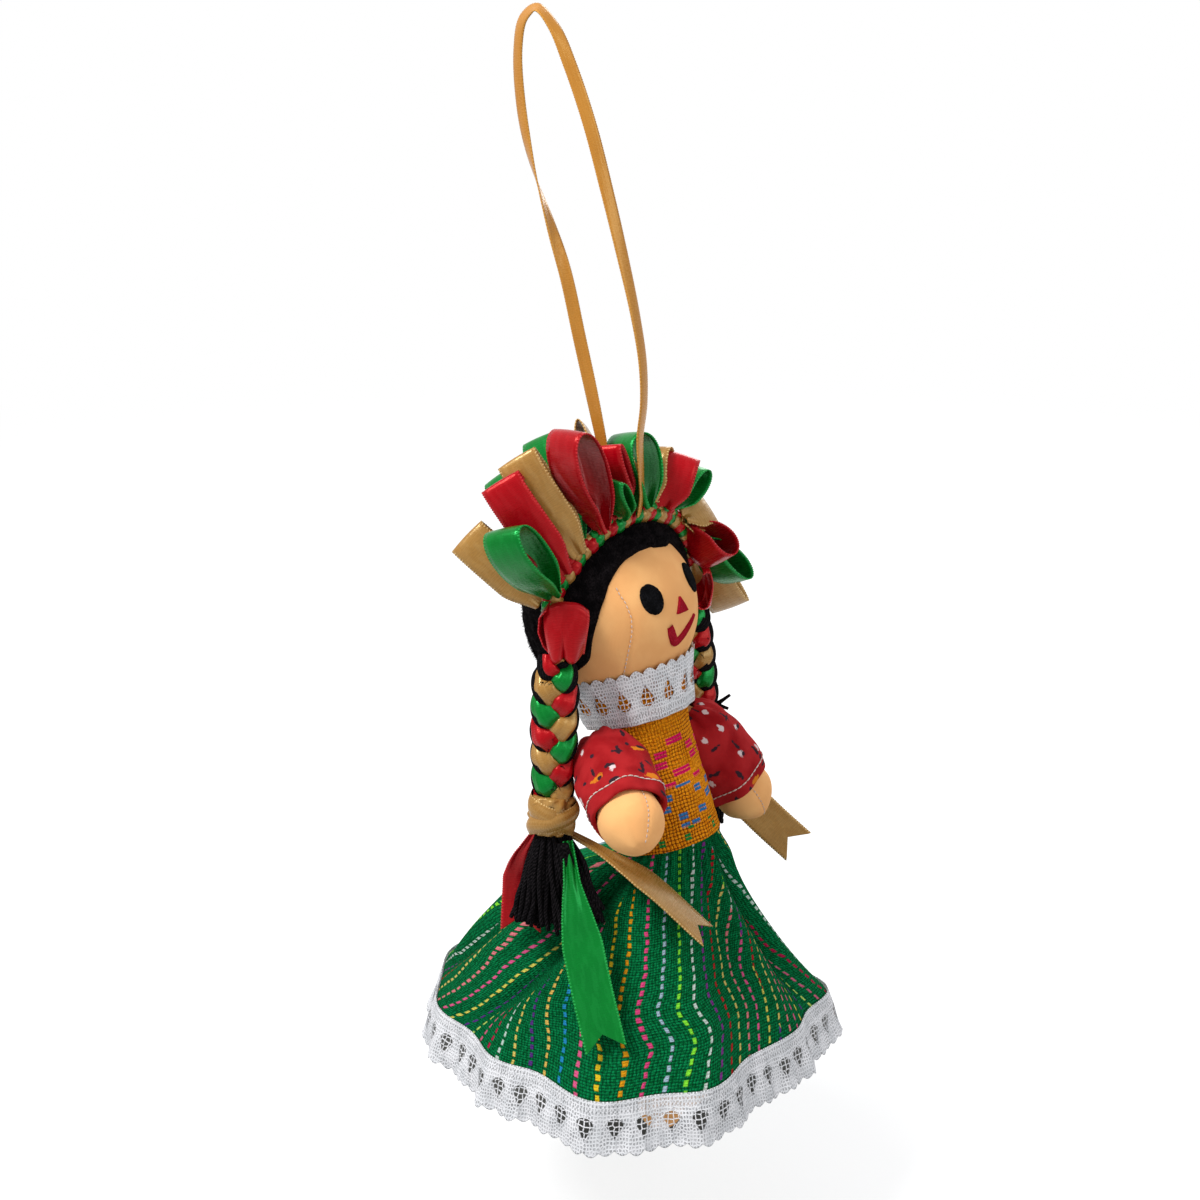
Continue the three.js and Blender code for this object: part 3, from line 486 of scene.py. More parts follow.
def lace(name):
    """Net lace in mm: u along it and v from its sewn edge to its scallops, with a row of open drops."""
    look = Look(name, roughness=0.95, Specular_IOR_Level=0.05)
    x = ((look.u / LACE_REPEAT).apply("FRACT") - 0.5) * LACE_REPEAT
    crown = look.v - DROP_MIDDLE
    foot = crown.apply("MINIMUM", 0.0) / DROP_FOOT
    round_part = (1.0 - foot * foot).apply("MAXIMUM", 0.0).apply("SQRT")
    taper = (1.0 - crown.apply("MAXIMUM", 0.0) / DROP_TIP).apply("MAXIMUM", 0.0)
    inside = round_part * taper * DROP_HALF - abs(x)
    drop = inside.ramp(0.0, 0.25)
    net = look.cells(look.flat(look.u, look.v), 1.3, "DISTANCE_TO_EDGE", 0.35)[1].ramp(0.06, 0.11)
    fine = look.cells(look.flat(look.u, look.v * 0.8), 0.72, "DISTANCE_TO_EDGE", 0.5)[1].ramp(0.17, 0.27)
    slots = look.wave(look.v + 0.3, 1.25).ramp(0.45, 0.8) * look.wave(look.u, 0.95).ramp(0.50, 0.85)
    slots = slots * look.v.ramp(3.9, 3.3)
    band = look.v.ramp(3.6, 4.4) * look.v.ramp(10.4, 9.4)
    veil = fine * (look.cloth_noise(0.35, 0.35) * 0.45 + 0.30)
    veil = veil * (band * 0.15 + 0.85)
    holes = (drop * net).apply("MAXIMUM", veil.apply("MAXIMUM", slots * 0.7))
    outline = inside.ramp(-0.55, -0.2) * inside.ramp(0.15, 0.0)
    tint = look.mix(look.noise(300.0), (0.76, 0.77, 0.79), (0.90, 0.90, 0.92))
    return look.finish(tint, outline * 1.2 + (1.0 - fine), strength=0.6, depth=0.0002, alpha=1.0 - holes)


DASH_PITCH = 0.92
PINK, BLUE, GREEN_THREAD = (0.80, 0.012, 0.13), (0.04, 0.20, 0.48), (0.02, 0.26, 0.05)
# Middle and phase in mm of each zigzag round the bodice
ZIGZAGS = ((-7.6, 0.0), (0.8, 4.2), (9.2, 0.0), (17.6, 4.2), (-16.0, 4.2), (-24.4, 0.0), (26.0, 0.0))


def bodice_cloth():
    look = Look("mustard_weave", roughness=0.95, Specular_IOR_Level=0.04)
    wobble = look.noise(260.0) * 0.35
    height, gap = weave(look.u + wobble, look.v + wobble, 0.95, DASH_PITCH)
    fibre = look.noise(1700.0, 3.0)
    thread = look.mix(fibre, (0.74, 0.205, 0.004), (0.98, 0.37, 0.012))
    # Painted shade: the gaps between the threads are darkened, unevenly, towards a dark brown
    tint = look.mix(gap.ramp(0.30, 0.10) * (look.noise(75.0, 1.0) * 0.8 + 0.2), thread, (0.20, 0.035, 0.003))
    # Dashes lie on two threads out of three
    row_v = (look.v / (3 * DASH_PITCH)).apply("FLOOR") * (3 * DASH_PITCH)
    dashes = abs((look.v / DASH_PITCH).apply("FRACT") - 0.5).ramp(0.46, 0.36)
    dashes = dashes * (look.v - row_v).ramp(2.0, 1.8)

    def zigzag(tint, middle, swing, period, phase, low, high, colour, width):
        turn = ((row_v + phase) / period).apply("FRACT")
        sway = (abs(turn * 2.0 - 1.0) - 0.5) * (swing * 2)
        here = abs(look.u - middle - sway).ramp(width, width - 0.25) * dashes
        here = here * look.v.ramp(low - 0.1, low + 0.1) * look.v.ramp(high + 0.1, high - 0.1)
        return look.mix(here, tint, colour)

    for middle, phase in ZIGZAGS:
        tint = zigzag(tint, middle, 3.4, 8.4, phase, 8.0, 20.5, PINK, 1.9)
        tint = zigzag(tint, middle - 1.0, 3.9, 10.4, phase + 2.2, 20.5, 31.5, BLUE, 1.4)
        tint = zigzag(tint, middle + 1.4, 1.8, 5.2, phase, 31.5, 35.0, GREEN_THREAD, 1.0)
    return look.finish(tint, fibre * 0.3 + height, strength=0.9, depth=0.0005)


# The sleeves' print: spacing, shift, size, stretch along u and v, share of cells and colour of each motif
MOTIFS = (
    (6.4, 0.0, 0.14, 1.0, 0.75, 0.55, (0.74, 0.60, 0.60)),
    (8.0, 3.1, 0.15, 0.5, 1.3, 0.45, (0.66, 0.20, 0.015)),
    (6.6, 7.3, 0.15, 1.5, 0.5, 0.55, (0.035, 0.015, 0.022)),
    (6.2, 12.1, 0.14, 0.5, 1.4, 0.50, (0.035, 0.015, 0.022)),
    (4.6, 5.2, 0.15, 0.9, 1.1, 0.22, (0.04, 0.015, 0.025)),
)


def sleeve_cloth():
    look = Look("printed_cotton", roughness=0.9, Specular_IOR_Level=0.08)
    height, gap = weave(look.u, look.v, 0.34, 0.34)
    tint = look.mix(look.noise(150.0, 3.0), (0.31, 0.007, 0.010), (0.43, 0.018, 0.021))
    for spacing, shift, size, stretch_u, stretch_v, share, colour in MOTIFS:
        moved = look.flat((look.u + shift) * stretch_u, (look.v + shift * 1.7) * stretch_v)
        cell, distance = look.cells(moved, spacing, "F1", 0.8)
        near = (look.noise(900.0) * 0.07 + distance).ramp(size + 0.03, size - 0.02)
        chance = Value(look, look.fed("ShaderNodeSeparateColor", cell.outputs["Color"]))
        tint = look.mix(near * chance.apply("LESS_THAN", share), tint, colour)
    return look.finish(tint, gap * 0.2 + height, strength=0.3, depth=0.00008)


STRIPES = [
    (0.72, 0.10, 0.26), (0.66, 0.58, 0.10), (0.10, 0.03, 0.22), (0.50, 0.66, 0.14), (0.60, 0.12, 0.22),
    (0.40, 0.01, 0.06), (0.50, 0.62, 0.55), (0.68, 0.52, 0.12), (0.09, 0.03, 0.20), (0.72, 0.46, 0.10),
    (0.02, 0.24, 0.50), (0.70, 0.10, 0.24), (0.74, 0.50, 0.02), (0.70, 0.30, 0.01), (0.70, 0.06, 0.20),
    (0.34, 0.46, 0.55), (0.22, 0.72, 0.04), (0.56, 0.64, 0.58), (0.20, 0.03, 0.24), (0.46, 0.01, 0.02),
    (0.68, 0.52, 0.14), (0.72, 0.20, 0.22),
]
# Stripe number, counted along the hem, at which the list's first colour lies
FIRST_STRIPE = 91.5


def skirt_cloth():
    look = Look("striped_cloth", roughness=0.95, Specular_IOR_Level=0.03)
    u = look.u + look.noise(180.0) * 0.5
    height, gap = weave(u, look.v, 0.78, 0.66)
    fibre = look.noise(1500.0, 3.0)
    thread = look.mix(fibre, (0.001, 0.098, 0.024), (0.003, 0.215, 0.066))
    # Painted shade: the gaps between the threads are darkened towards a deep green, nearly black
    tint = look.mix(gap.ramp(0.4, 0.08) * 0.75, thread, (0.0, 0.018, 0.008))
    place = u / STRIPE_PITCH
    number = place.apply("FLOOR")
    line = (abs(place.apply("FRACT") - 0.5) * STRIPE_PITCH).ramp(0.52, 0.36)
    # The dashes of each stripe start at another height
    dash = ((look.v + (number * 0.618).apply("FRACT") * 2.4) / 2.15).apply("FRACT")
    dashed = dash.ramp(0.02, 0.12) * dash.ramp(0.74, 0.62)
    colours = look.node("ShaderNodeValToRGB")
    colours.color_ramp.interpolation = "CONSTANT"
    stops = colours.color_ramp.elements
    while len(stops) < len(STRIPES):
        stops.new(0.5)
    for k, colour in enumerate(STRIPES):
        stops[k].position = k / len(STRIPES)
        stops[k].color = (*colour, 1.0)
    look.feed(colours.inputs[0], ((FIRST_STRIPE - number) / float(len(STRIPES))).apply("FRACT"))
    tucked = Value(look, look.node("ShaderNodeAttribute", attribute_name="tucked").outputs["Fac"])
    stripe = line * dashed * tucked.ramp(0.7, 0.3)
    tint = look.mix(stripe, tint, colours.outputs[0])
    return look.finish(tint, fibre * 0.25 + height + stripe * 0.9, strength=0.8, depth=0.00035)


RED = satin("satin_red", (0.40, 0.0008, 0.007), (0.72, 0.05, 0.06), (0.24, 0.0006, 0.004), (1.0, 0.14, 0.12))
GREEN = satin("satin_green", (0.0006, 0.145, 0.013), (0.03, 0.42, 0.09), (0.0004, 0.082, 0.008),
              (0.10, 1.0, 0.28))
GOLD = satin("satin_gold", (0.39, 0.19, 0.040), (0.84, 0.58, 0.25), (0.22, 0.088, 0.014), (1.0, 0.80, 0.42))
OCHRE = satin("satin_ochre", (0.54, 0.22, 0.028), (0.74, 0.40, 0.09), (0.40, 0.14, 0.012), (1.0, 0.75, 0.35))
SATINS = {"red": RED, "green": GREEN, "gold": GOLD}
SKIN = cotton("skin_cotton", (0.97, 0.52, 0.20), (0.84, 0.37, 0.125))
HAIR = felt("hair_fleece", (0.0030, 0.0024, 0.0028), (0.014, 0.011, 0.012))
YARN = yarn("hair_yarn", (0.0035, 0.003, 0.0035), (0.020, 0.016, 0.018))
BLACK_FELT = felt("black_felt", (0.0035, 0.0035, 0.004), (0.012, 0.012, 0.014))
RED_FELT = felt("red_felt", (0.38, 0.008, 0.022), (0.48, 0.02, 0.04))
WHITE_LACE = lace("white_lace")
THREAD = cotton("white_thread", (0.72, 0.62, 0.56), (0.55, 0.42, 0.34))
BODICE = bodice_cloth()
SLEEVE = sleeve_cloth()
SKIRT = skirt_cloth()

# Camera and light
AZIMUTH, ELEVATION, DISTANCE = -55.0, 20.0, 560.0
TARGET = np.array((-4.99, 7.13, 123.0))
FOCAL_PIXELS, IMAGE_PIXELS, SENSOR = 2240, 1200, 36.0
BACK = np.array((sind(AZIMUTH) * cosd(ELEVATION), -cosd(AZIMUTH) * cosd(ELEVATION), sind(ELEVATION)))
RIGHT = np.array((cosd(AZIMUTH), sind(AZIMUTH), 0.0))
UP = np.cross(BACK, RIGHT)
EYE = TARGET + BACK * DISTANCE


def put(name, data, where, *axes):
    """A camera or a lamp at a place, with its own X, Y and Z axes."""
    made = bpy.data.objects.new(name, data)
    made.matrix_world = Matrix.Translation(metres(where)) @ Matrix(np.column_stack(axes).tolist()).to_4x4()
    bpy.context.scene.collection.objects.link(made)
    return made


camera_data = bpy.data.cameras.new("camera")
camera_data.sensor_width = SENSOR
camera_data.lens = SENSOR * FOCAL_PIXELS / IMAGE_PIXELS
camera_data.clip_start, camera_data.clip_end = 0.01, 20.0
bpy.context.scene.camera = put("camera", camera_data, EYE, RIGHT, UP, BACK)
bpy.context.scene.view_settings.view_transform = "Standard"


def lamp(name, right, up, back, away, energy, size):
    data = bpy.data.lights.new(name, "AREA")
    data.energy, data.size, data.shape = energy, size, "DISK"
    where = TARGET + (right * RIGHT + up * UP + back * BACK) * away
    z = unit(metres(where) - metres(TARGET))
    x = unit(np.cross((0, 0, 1), z))
    put(name, data, where, x, np.cross(z, x), z)


lamp("key", -0.75, 0.95, 0.75, 700, 10.0, 0.45)
lamp("fill", 1.0, 0.35, 0.9, 800, 3.4, 0.7)
lamp("rim", 0.5, 0.9, -0.9, 700, 4.0, 0.6)

world = bpy.data.worlds.new("studio")
bpy.context.scene.world = world
world.use_nodes = True
sky = Nodes(world.node_tree)
rays = sky.node("ShaderNodeLightPath").outputs
seen_sky = sky.math("MAXIMUM", rays["Is Camera Ray"], rays["Is Transmission Ray"])
seen_sky = seen_sky.apply("MAXIMUM", rays["Is Glossy Ray"])
sky.feed(sky.tree.nodes["Background"].inputs[0], sky.mix(seen_sky, (0.40, 0.41, 0.43), (1, 1, 1)))

FLOOR_HEIGHT, FLOOR_REACH = -52.0, 6


def floor_look():
    """White to the camera and in reflections, painted dark behind the lace for the skirt's shade, with a
    shadow near the doll only.
    """
    look = Look("floor", roughness=1.0, Specular_IOR_Level=0.0)
    look.finish(look.mix(look.noise(3.0), (0.44, 0.44, 0.44), (0.46, 0.46, 0.46)))
    rays = look.node("ShaderNodeLightPath").outputs
    camera_ray, depth = Value(look, rays["Is Camera Ray"]), Value(look, rays["Transparent Depth"])
    direct = camera_ray * depth.apply("LESS_THAN", 0.5)
    behind = camera_ray * depth.apply("GREATER_THAN", 0.5)
    seen = direct.apply("MAXIMUM", look.math("MAXIMUM", rays["Is Glossy Ray"], rays["Is Transmission Ray"]))
    away = look.node("ShaderNodeVectorMath", operation="LENGTH")
    look.feed(away.inputs[0], look.place())
    far = direct * Value(look, away.outputs["Value"]).ramp(0.42, 0.95)
    glow = look.fed("ShaderNodeEmission", (1, 1, 1, 1), seen * 0.66)
    lit = look.fed("ShaderNodeAddShader", look.shader.outputs[0], glow)
    # Painted shade: the floor seen through the lace is a dark diffuse, standing in for the shadow under the
    # skirt
    dim = look.fed("ShaderNodeBsdfDiffuse", (0.075, 0.075, 0.07, 1))
    through = look.fed("ShaderNodeMixShader", behind, lit, dim)
    white = look.fed("ShaderNodeEmission", (1, 1, 1, 1))
    faded = look.fed("ShaderNodeMixShader", far, through, white)
    look.feed(look.tree.nodes["Material Output"].inputs[0], faded)
    return look.material


floor_mesh = bpy.data.meshes.new("floor")
level = metres((0, 0, FLOOR_HEIGHT))[2]
corners = [(x * FLOOR_REACH, y * FLOOR_REACH, level) for x, y in ((-1, -1), (1, -1), (1, 1), (-1, 1))]
floor_mesh.from_pydata(corners, [], [(0, 1, 2, 3)])
floor_mesh.materials.append(floor_look())
floor = bpy.data.objects.new("floor", floor_mesh)
bpy.context.scene.collection.objects.link(floor)


# Hanging ribbon: one flat cord from its sewn front end, up over the hook and down to its sewn back end
def on_fan(angle, radius, out=0.0):
    angle = np.radians(angle)
    local = stacked(radius * np.sin(angle), out, radius * np.cos(angle))
    return FAN_CENTRE + local @ FAN_FRAME.T


SEWN = on_fan(-1.0, CORD_RADIUS)
SEWN_APART = 2.45
HANGER_FRONT = [
    SEWN + (0, -SEWN_APART, 0.8), (-1.5, -3, 151), (-2.8, -3.6, 158), (-3, -3.4, 166), (-3, -4.4, 175),
    (-3, -4, 185), (-3, -1.6, 197), (-3, 2, 210), (-3, 6.4, 224.5), (-3, 11.5, 240), (-3, 17, 253),
    (-3, 21.6, 261.6), (-3, 26.5, 265.7),
]
HANGER_BACK = [
    (-3, 30.6, 263), (-3, 32.3, 256), (-3, 31.6, 243), (-3, 28.6, 229.5), (-3, 23.4, 216),
    (-3, 18.6, 203.5), (-3, 14.6, 188.5), (-3, 11.2, 176), (-3, 8.6, 166), (-2.4, 7, 158), (-1.4, 4.6, 151),
    SEWN + (0, SEWN_APART, 0.8),
]
# How far each strand is turned away from the camera, in degrees, by height
FRONT_TURNS = [(146, 80), (158, 66), (175, 62), (197, 50), (216, 30), (240, 4), (256, 12), (265.7, 58)]
BACK_TURNS = [(146, 228), (160, 226), (176, 200), (190, 180), (203, 178), (222, 104), (231, 62), (243, 44),
              (252, 56), (262, 52), (265.7, 58)]


def hanging_ribbon():
    line = smooth_line(HANGER_FRONT + HANGER_BACK, 260)
    along = unit(np.gradient(line, axis=0))
    facing = unit(np.cross(unit(line - EYE), along))
    depthwise = np.cross(along, facing)
    height = line[:, 2]
    turns = np.where(np.arange(len(line)) <= height.argmax(), np.interp(height, *zip(*FRONT_TURNS)),
                     np.interp(height, *zip(*BACK_TURNS)))
    turns = np.convolve(np.pad(turns, 6, mode="edge"), np.ones(13) / 13, mode="valid")[:, None]
    cloth = Cloth()
    strip(cloth, line, cosd(turns) * facing + sind(turns) * depthwise, HANGER_WIDTH, step=0.28, columns=7,
          picot=0.12, cup=0.12)
    piece = cloth.build("hanging_ribbon", [OCHRE], None, "ochre_satin",
                        ("hanger_ribbon", "hanger_end_front", "hanger_end_back"), thickness=0.35)
    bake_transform(piece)
    lengths_along(line)[-1] / 1000


hanging_ribbon()


# Head
def on_head(longitude, latitude, radius=HEAD_RADIUS):
    lon, lat = np.radians(longitude), np.radians(latitude)
    level = radius * np.cos(lat)
    return stacked(level * np.sin(lon), -level * np.cos(lon), radius * np.sin(lat))


def from_head(local):
    local = np.array(local, float)
    local[..., 1] = np.where(local[..., 1] > 0, local[..., 1] * HEAD_BACK_DEPTH, local[..., 1])
    return HEAD_CENTRE + local @ HEAD_TURN.T


SEAM = [(-43, 19), (-42.3, 14), (-40.4, 8.1), (-39.6, -1.8), (-41.6, -10.4), (-44.2, -16.9), (-48.1, -25.1),
        (-52.4, -34.4), (-58, -46)]
HEAD_DEGREE = HEAD_RADIUS * pi / 180


def seam_longitude(latitude):
    longitudes, latitudes = zip(*SEAM[::-1])
    return np.interp(latitude, latitudes, longitudes)


def head_skin():
    lat = np.linspace(-86, 86, 60)
    lon = np.linspace(-180, 180, 144, endpoint=False)
    lons, lats = np.meshgrid(lon, lat)
    x, y = lons * HEAD_DEGREE, lats * HEAD_DEGREE
    lumps = 0.22 * ripple(x, y, 3, 16.0) + 0.10 * ripple(x, y, 4, 6.0)
    away = np.abs(lons - seam_longitude(lats)) * HEAD_DEGREE * cosd(lats)
    inside = lats < 22
    crease = -0.32 * bell(away, 0.7) * inside + 0.12 * bell(away - 1.5, 0.9) * inside
    chin = -0.5 * smoothstep(-lats, 52, 80)
    points = from_head(on_head(lons, lats, HEAD_RADIUS + lumps * 0.6 + crease + chin))
    u = np.append(lon, 180)[None] * HEAD_DEGREE * cosd(lat)[:, None]
    cloth = Cloth().grid(points, stacked(u, (lat * HEAD_DEGREE)[:, None]), around=True, caps=(True, True))
    piece = cloth.build("head", [SKIN], "head", "skin_cotton", ("head_skin", "head_stuffing"))
    line_lat = np.linspace(19, -46, 80)
    thread = Cloth()
    line = from_head(on_head(seam_longitude(line_lat), line_lat, HEAD_RADIUS - 0.12))
    stitches(thread, line, unit(line - HEAD_CENTRE), length=0.85, gap=0.4, radius=0.13)
    thread.build("head_seam", [THREAD], "head", "skin_cotton")


head_skin()

HAIRLINE = [(0, 35.4), (-8, 35.9), (-18, 35.9), (-31, 33.4), (-42, 26), (-50, 17), (-56, 9), (-62, -1),
            (-68, -11), (-75, -22), (-88, -27), (-104, -20), (-125, -25), (-152, -30), (-180, -31)]
# Radius of the hair's rim, of its full height and of its arch in front of the headband
HAIR_RIM, HAIR_FULL, HAIR_ARCH = 22.3, 24.25, 25.1
NAP_COUNT = 9000


def spread(pole, rim, shares):
    """Directions between a pole and a rim, by share of the way."""
    pole, rim = unit(pole), unit(rim)
    angle = np.arccos(np.clip(rim @ pole, -1, 1))[None, :, None]
    s = np.asarray(shares)[:, None, None]
    return (np.sin((1 - s) * angle) * pole + np.sin(s * angle) * rim[None]) / np.sin(angle)


def hair():
    side = smooth_line([on_head(lon, lat, 1.0) for lon, lat in HAIRLINE], 90)
    # The cap comes a little lower on the doll's left
    other = smooth_line([on_head(-lon, lat - 4.6 * bell(lon + 20, 14), 1.0) for lon, lat in HAIRLINE], 90)
    rim = np.vstack((side, other[1:-1][::-1]))
    shares = np.concatenate((np.linspace(0.02, 0.9, 46), np.linspace(0.915, 1.0, 9)))
    rim_wobble = 1 + 0.006 * ripple(np.arange(len(rim)), 0.0, 9, 7.0)
    directions = spread(on_head(180, 20, 1.0), rim, shares)
    across = np.arange(len(rim) + 1)[None] * 0.9
    down = (shares * 60)[:, None]
    full = HAIR_FULL + 0.22 * ripple(across, down, 5, 4.0) + 0.12 * ripple(across, down, 6, 1.9)
    edge = np.sqrt(1 - np.clip((shares - 0.90) / 0.10, 0, 1) ** 2)[:, None]
    radius = HAIR_RIM + (full[:, :-1] - HAIR_RIM) * edge
    points = from_head(directions * (radius * rim_wobble[None])[..., None])
    local = (points - FAN_CENTRE) @ FAN_FRAME
    reach = np.hypot(local[..., 0], local[..., 2])
    near = bell(local[..., 1], 4.5) * smoothstep(local[..., 2], 2.0, 9.0)
    grow = 1 + np.maximum(0, HAIR_ARCH - reach) / np.maximum(reach, 1) * near * edge
    points = FAN_CENTRE + (local * stacked(grow, 1.0, grow)) @ FAN_FRAME.T
    cloth = Cloth().grid(points, stacked(across, down), around=True, caps=(True, False))
    cloth.build("hair", [HAIR], "head", "hair_fleece", ("hair_cap",))
    add_nap(points)


def add_nap(points):
    """Short fibres all over the cap, each a thin triangle."""
    rows, columns = points.shape[:2]
    row = np.sqrt(random.uniform(0.0, 0.995, NAP_COUNT)) * (rows - 1)
    column = random.uniform(0, columns, NAP_COUNT)
    r0, c0 = row.astype(int), column.astype(int) % columns
    fr, fc = row - r0, column - column.astype(int)
    r1, c1 = np.minimum(r0 + 1, rows - 1), (c0 + 1) % columns
    roots = (points[r0, c0] * ((1 - fr) * (1 - fc))[:, None] + points[r0, c1] * ((1 - fr) * fc)[:, None]
             + points[r1, c0] * (fr * (1 - fc))[:, None] + points[r1, c1] * (fr * fc)[:, None])
    out = unit(roots - HEAD_CENTRE)
    lean = unit(out + random.normal(0, 0.55, (NAP_COUNT, 3)))
    side_way = unit(np.cross(lean, random.normal(0, 1, (NAP_COUNT, 3))))
    long = random.uniform(0.4, 1.05, NAP_COUNT)[:, None]
    tips = roots + lean * long
    base_a, base_b = roots - side_way * 0.08 - out * 0.1, roots + side_way * 0.08 - out * 0.1
    nap = bpy.data.meshes.new("hair_nap")
    verts = np.stack((base_a, base_b, tips), axis=1).reshape(-1, 3)
    nap.from_pydata(metres(verts).tolist(), [], np.arange(NAP_COUNT * 3).reshape(-1, 3).tolist())
    nap.uv_layers.new(name="UVMap")
    nap.materials.append(HAIR)
    piece = bpy.data.objects.new("hair_nap", nap)
    bpy.context.scene.collection.objects.link(piece)
    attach(piece, "head")


hair()


def face_patch(name, pole, rim, material, slot, node, seed):
    """A felt piece on the head, from its middle to its rim, a little raised and with its edge sunk in."""
    shares = np.array((0.35, 0.7, 0.9, 0.97, 1.0, 1.0))
    lifts = np.array((0.55, 0.55, 0.539, 0.4675, 0.275, -0.35))
    wobble = 1 + 0.012 * np.random.default_rng(seed).normal(0, 1, len(rim))
    directions = spread(pole, unit(pole + (rim - pole) * wobble[:, None]), shares)
    points = from_head(directions * (HEAD_RADIUS + lifts)[:, None, None])
    uv = points[..., (0, 2)]
    uv = np.concatenate((uv, uv[:, :1]), axis=1)
    cloth = Cloth().grid(points, uv, around=True, caps=(True, False))
    cloth.build(name, [material], "head", slot, (node,))


def eye_rim(lon, lat, lean, width=6.0, height=8.0):
    centre = on_head(lon, lat, 1.0)
    east = unit(np.cross((0, 0, 1), centre))
    north = np.cross(centre, east)
    angle = circle(48)
    x, y = (width / 2) * np.cos(angle) / HEAD_RADIUS, (height / 2) * np.sin(angle) / HEAD_RADIUS
    c, s = cosd(lean), sind(lean)
    return centre, unit(centre + np.outer(x * c - y * s, east) + np.outer(x * s + y * c, north))


def outline_rim(corners, per_side=14, softness=0.12):
    """Closed rim through corners on the head, with its corners a little rounded."""
    corners = [on_head(lon, lat, 1.0) for lon, lat in corners]
    rim = []
    for k, corner in enumerate(corners):
        following = corners[(k + 1) % len(corners)]
        rim.extend(lerp(corner, following, s) for s in np.linspace(0, 1, per_side, endpoint=False))
    rim = np.array(rim)
    for _ in range(2):
        rim = (1 - softness * 2) * rim + softness * (np.roll(rim, 1, axis=0) + np.roll(rim, -1, axis=0))
    return unit(rim)


for side, spot, seed in (("right", (-23, 4.8, 10), 21), ("left", (22.5, 6.8, 6), 22)):
    face_patch(f"{side}_eye", *eye_rim(*spot), BLACK_FELT, "black_felt", f"eye_{side}", seed)
face_patch("felt_nose", on_head(-0.8, -7.2, 1.0), outline_rim([(-0.8, 0.2), (5.2, -10.8), (-6.8, -10.2)]),
           RED_FELT, "red_felt", "nose", 23)


def mouth():
    corners = ((-14.6, -15.6, 0), (-12.6, -23, 0), (-9.6, -28.2, 0), (-3, -26.4, 0), (5, -21.6, 0),
               (13.4, -15.8, 0))
    middle = smooth_line(corners, 60)
    width = np.interp(np.linspace(0, 1, 60), (0, 0.12, 0.3, 0.42, 0.8, 1), (1.7, 2.3, 2.3, 2.0, 1.6, 0.9))
    centre = on_head(middle[:, 0], middle[:, 1], 1.0)
    along_mouth = unit(np.gradient(centre, axis=0))
    across_mouth = unit(np.cross(centre, along_mouth))
    x = np.array((-1.0, -1.0, -0.85, 0, 0.85, 1.0, 1.0))
    lift = np.array((-0.35, 0.35, 0.52, 0.55, 0.52, 0.35, -0.35))
    reach = x[None] * width[:, None] / 2 / HEAD_RADIUS
    ways = unit(centre[:, None] + across_mouth[:, None] * reach[..., None])
    points = from_head(ways * (HEAD_RADIUS + lift)[None, :, None])
    cloth = Cloth().grid(points, points[..., (0, 2)])
    cloth.build("felt_mouth", [RED_FELT], "head", "red_felt", ("mouth",))


mouth()


# Headdress: a cord bound with three ribbons, ribbon ends along its outer edge, and the loops sewn to it
BEADS, KNOTS = 30, 41


def headband():
    cloth = Cloth()
    for k, angle in enumerate(np.linspace(-FAN_END, FAN_END, BEADS)):
        middle = on_fan(angle, CORD_RADIUS)
        outward = unit(middle - FAN_CENTRE)
        along_cord = unit(on_fan(angle + 1, CORD_RADIUS) - middle)
        forward = np.cross(outward, along_cord)
        tilt = 26 + 12 * math.sin(k * 2.3)
        lay = along_cord * cosd(tilt) + outward * sind(tilt)
        rise = -along_cord * sind(tilt) + outward * cosd(tilt)
        lat = np.linspace(-80, 80, 9)[:, None]
        lon = circle(16)[None]
        thick = (1.0 + 0.12 * math.sin(k * 1.7)) * cosd(lat)
        flute = 1 + 0.07 * np.sin(lon * 5 + lat / 9) + 0.05 * np.sin(lon * 2 + k)
        ball = stacked(2.5 * sind(lat), 2.0 * thick * np.cos(lon), 2.15 * thick * np.sin(lon))
        ball = ball * flute[..., None]
        points = middle + ball[..., :1] * lay + ball[..., 1:2] * rise + ball[..., 2:] * forward
        uv = stacked(sind(lat) * 0.97, np.linspace(0, 12, 17)[None])
        cloth.grid(points, uv, around=True, caps=(True, True), slot=k % 3)
    for k, angle in enumerate(np.linspace(-FAN_END + 2, FAN_END - 2, KNOTS)):
        ends = on_fan(angle + np.array((-2.3, -0.8, 0.8, 2.3)), LOOP_SEAT - 0.5 + 0.3 * math.sin(k * 2.1),
                      0.5 * math.sin(k * 1.3))
        thick = 1.25 * np.array((0.7, 0.85, 0.95, 1, 1, 1, 0.95, 0.85, 0.7))
        tube(cloth, smooth_line(ends, 9), thick, 10, slot=(k * 2) % 3, span=0.9, flute=0.1)
    cloth.build("headband", [GREEN, GOLD, RED], "head", "red_satin", ("headband_cord",))


headband()

# Colour, seat, heading, lean, twist, reach, open width and row of each loop
LOOPS = [
    ("gold", -71, -40, 43, 70, 24.5, 3.5, 1), ("green", -65, -41, 14, 32, 25, 7.5, -1),
    ("red", -54, -27, 32, 56, 28.5, 4, -1), ("green", -48, -25, 42, 32, 26, 6, 1),
    ("gold", -42, -25, 35, 52, 28.5, 3.5, -1), ("green", -37, 6, 42, 15, 27.5, 5, 1),
    ("red", -25, -22, 16, 6, 28.5, 8, -1), ("gold", -20, 23, 43, -68, 25.5, 3, 1),
    ("green", -11, -30, 6, 8, 13, 2.4, -1), ("red", -6, -23, 14, 32, 18.5, 3.5, 1),
    ("green", 6, -3, 27, -4, 19, 8, -1), ("gold", 15, 24, 27, 12, 14, 5, 1),
    ("red", 21, 28, 13, 36, 14, 4.5, -1), ("green", 31, 61, 10, -6, 14.5, 5, 1),
    ("gold", 39, 95, 12, 36, 12, 4, -1), ("red", 49, 133, -36, -30, 13.5, 6.5, -1),
    ("green", 60, 132, -16, -30, 20.5, 5.5, -1), ("gold", 71, 140, -5, -50, 25.5, 3.5, -1),
]


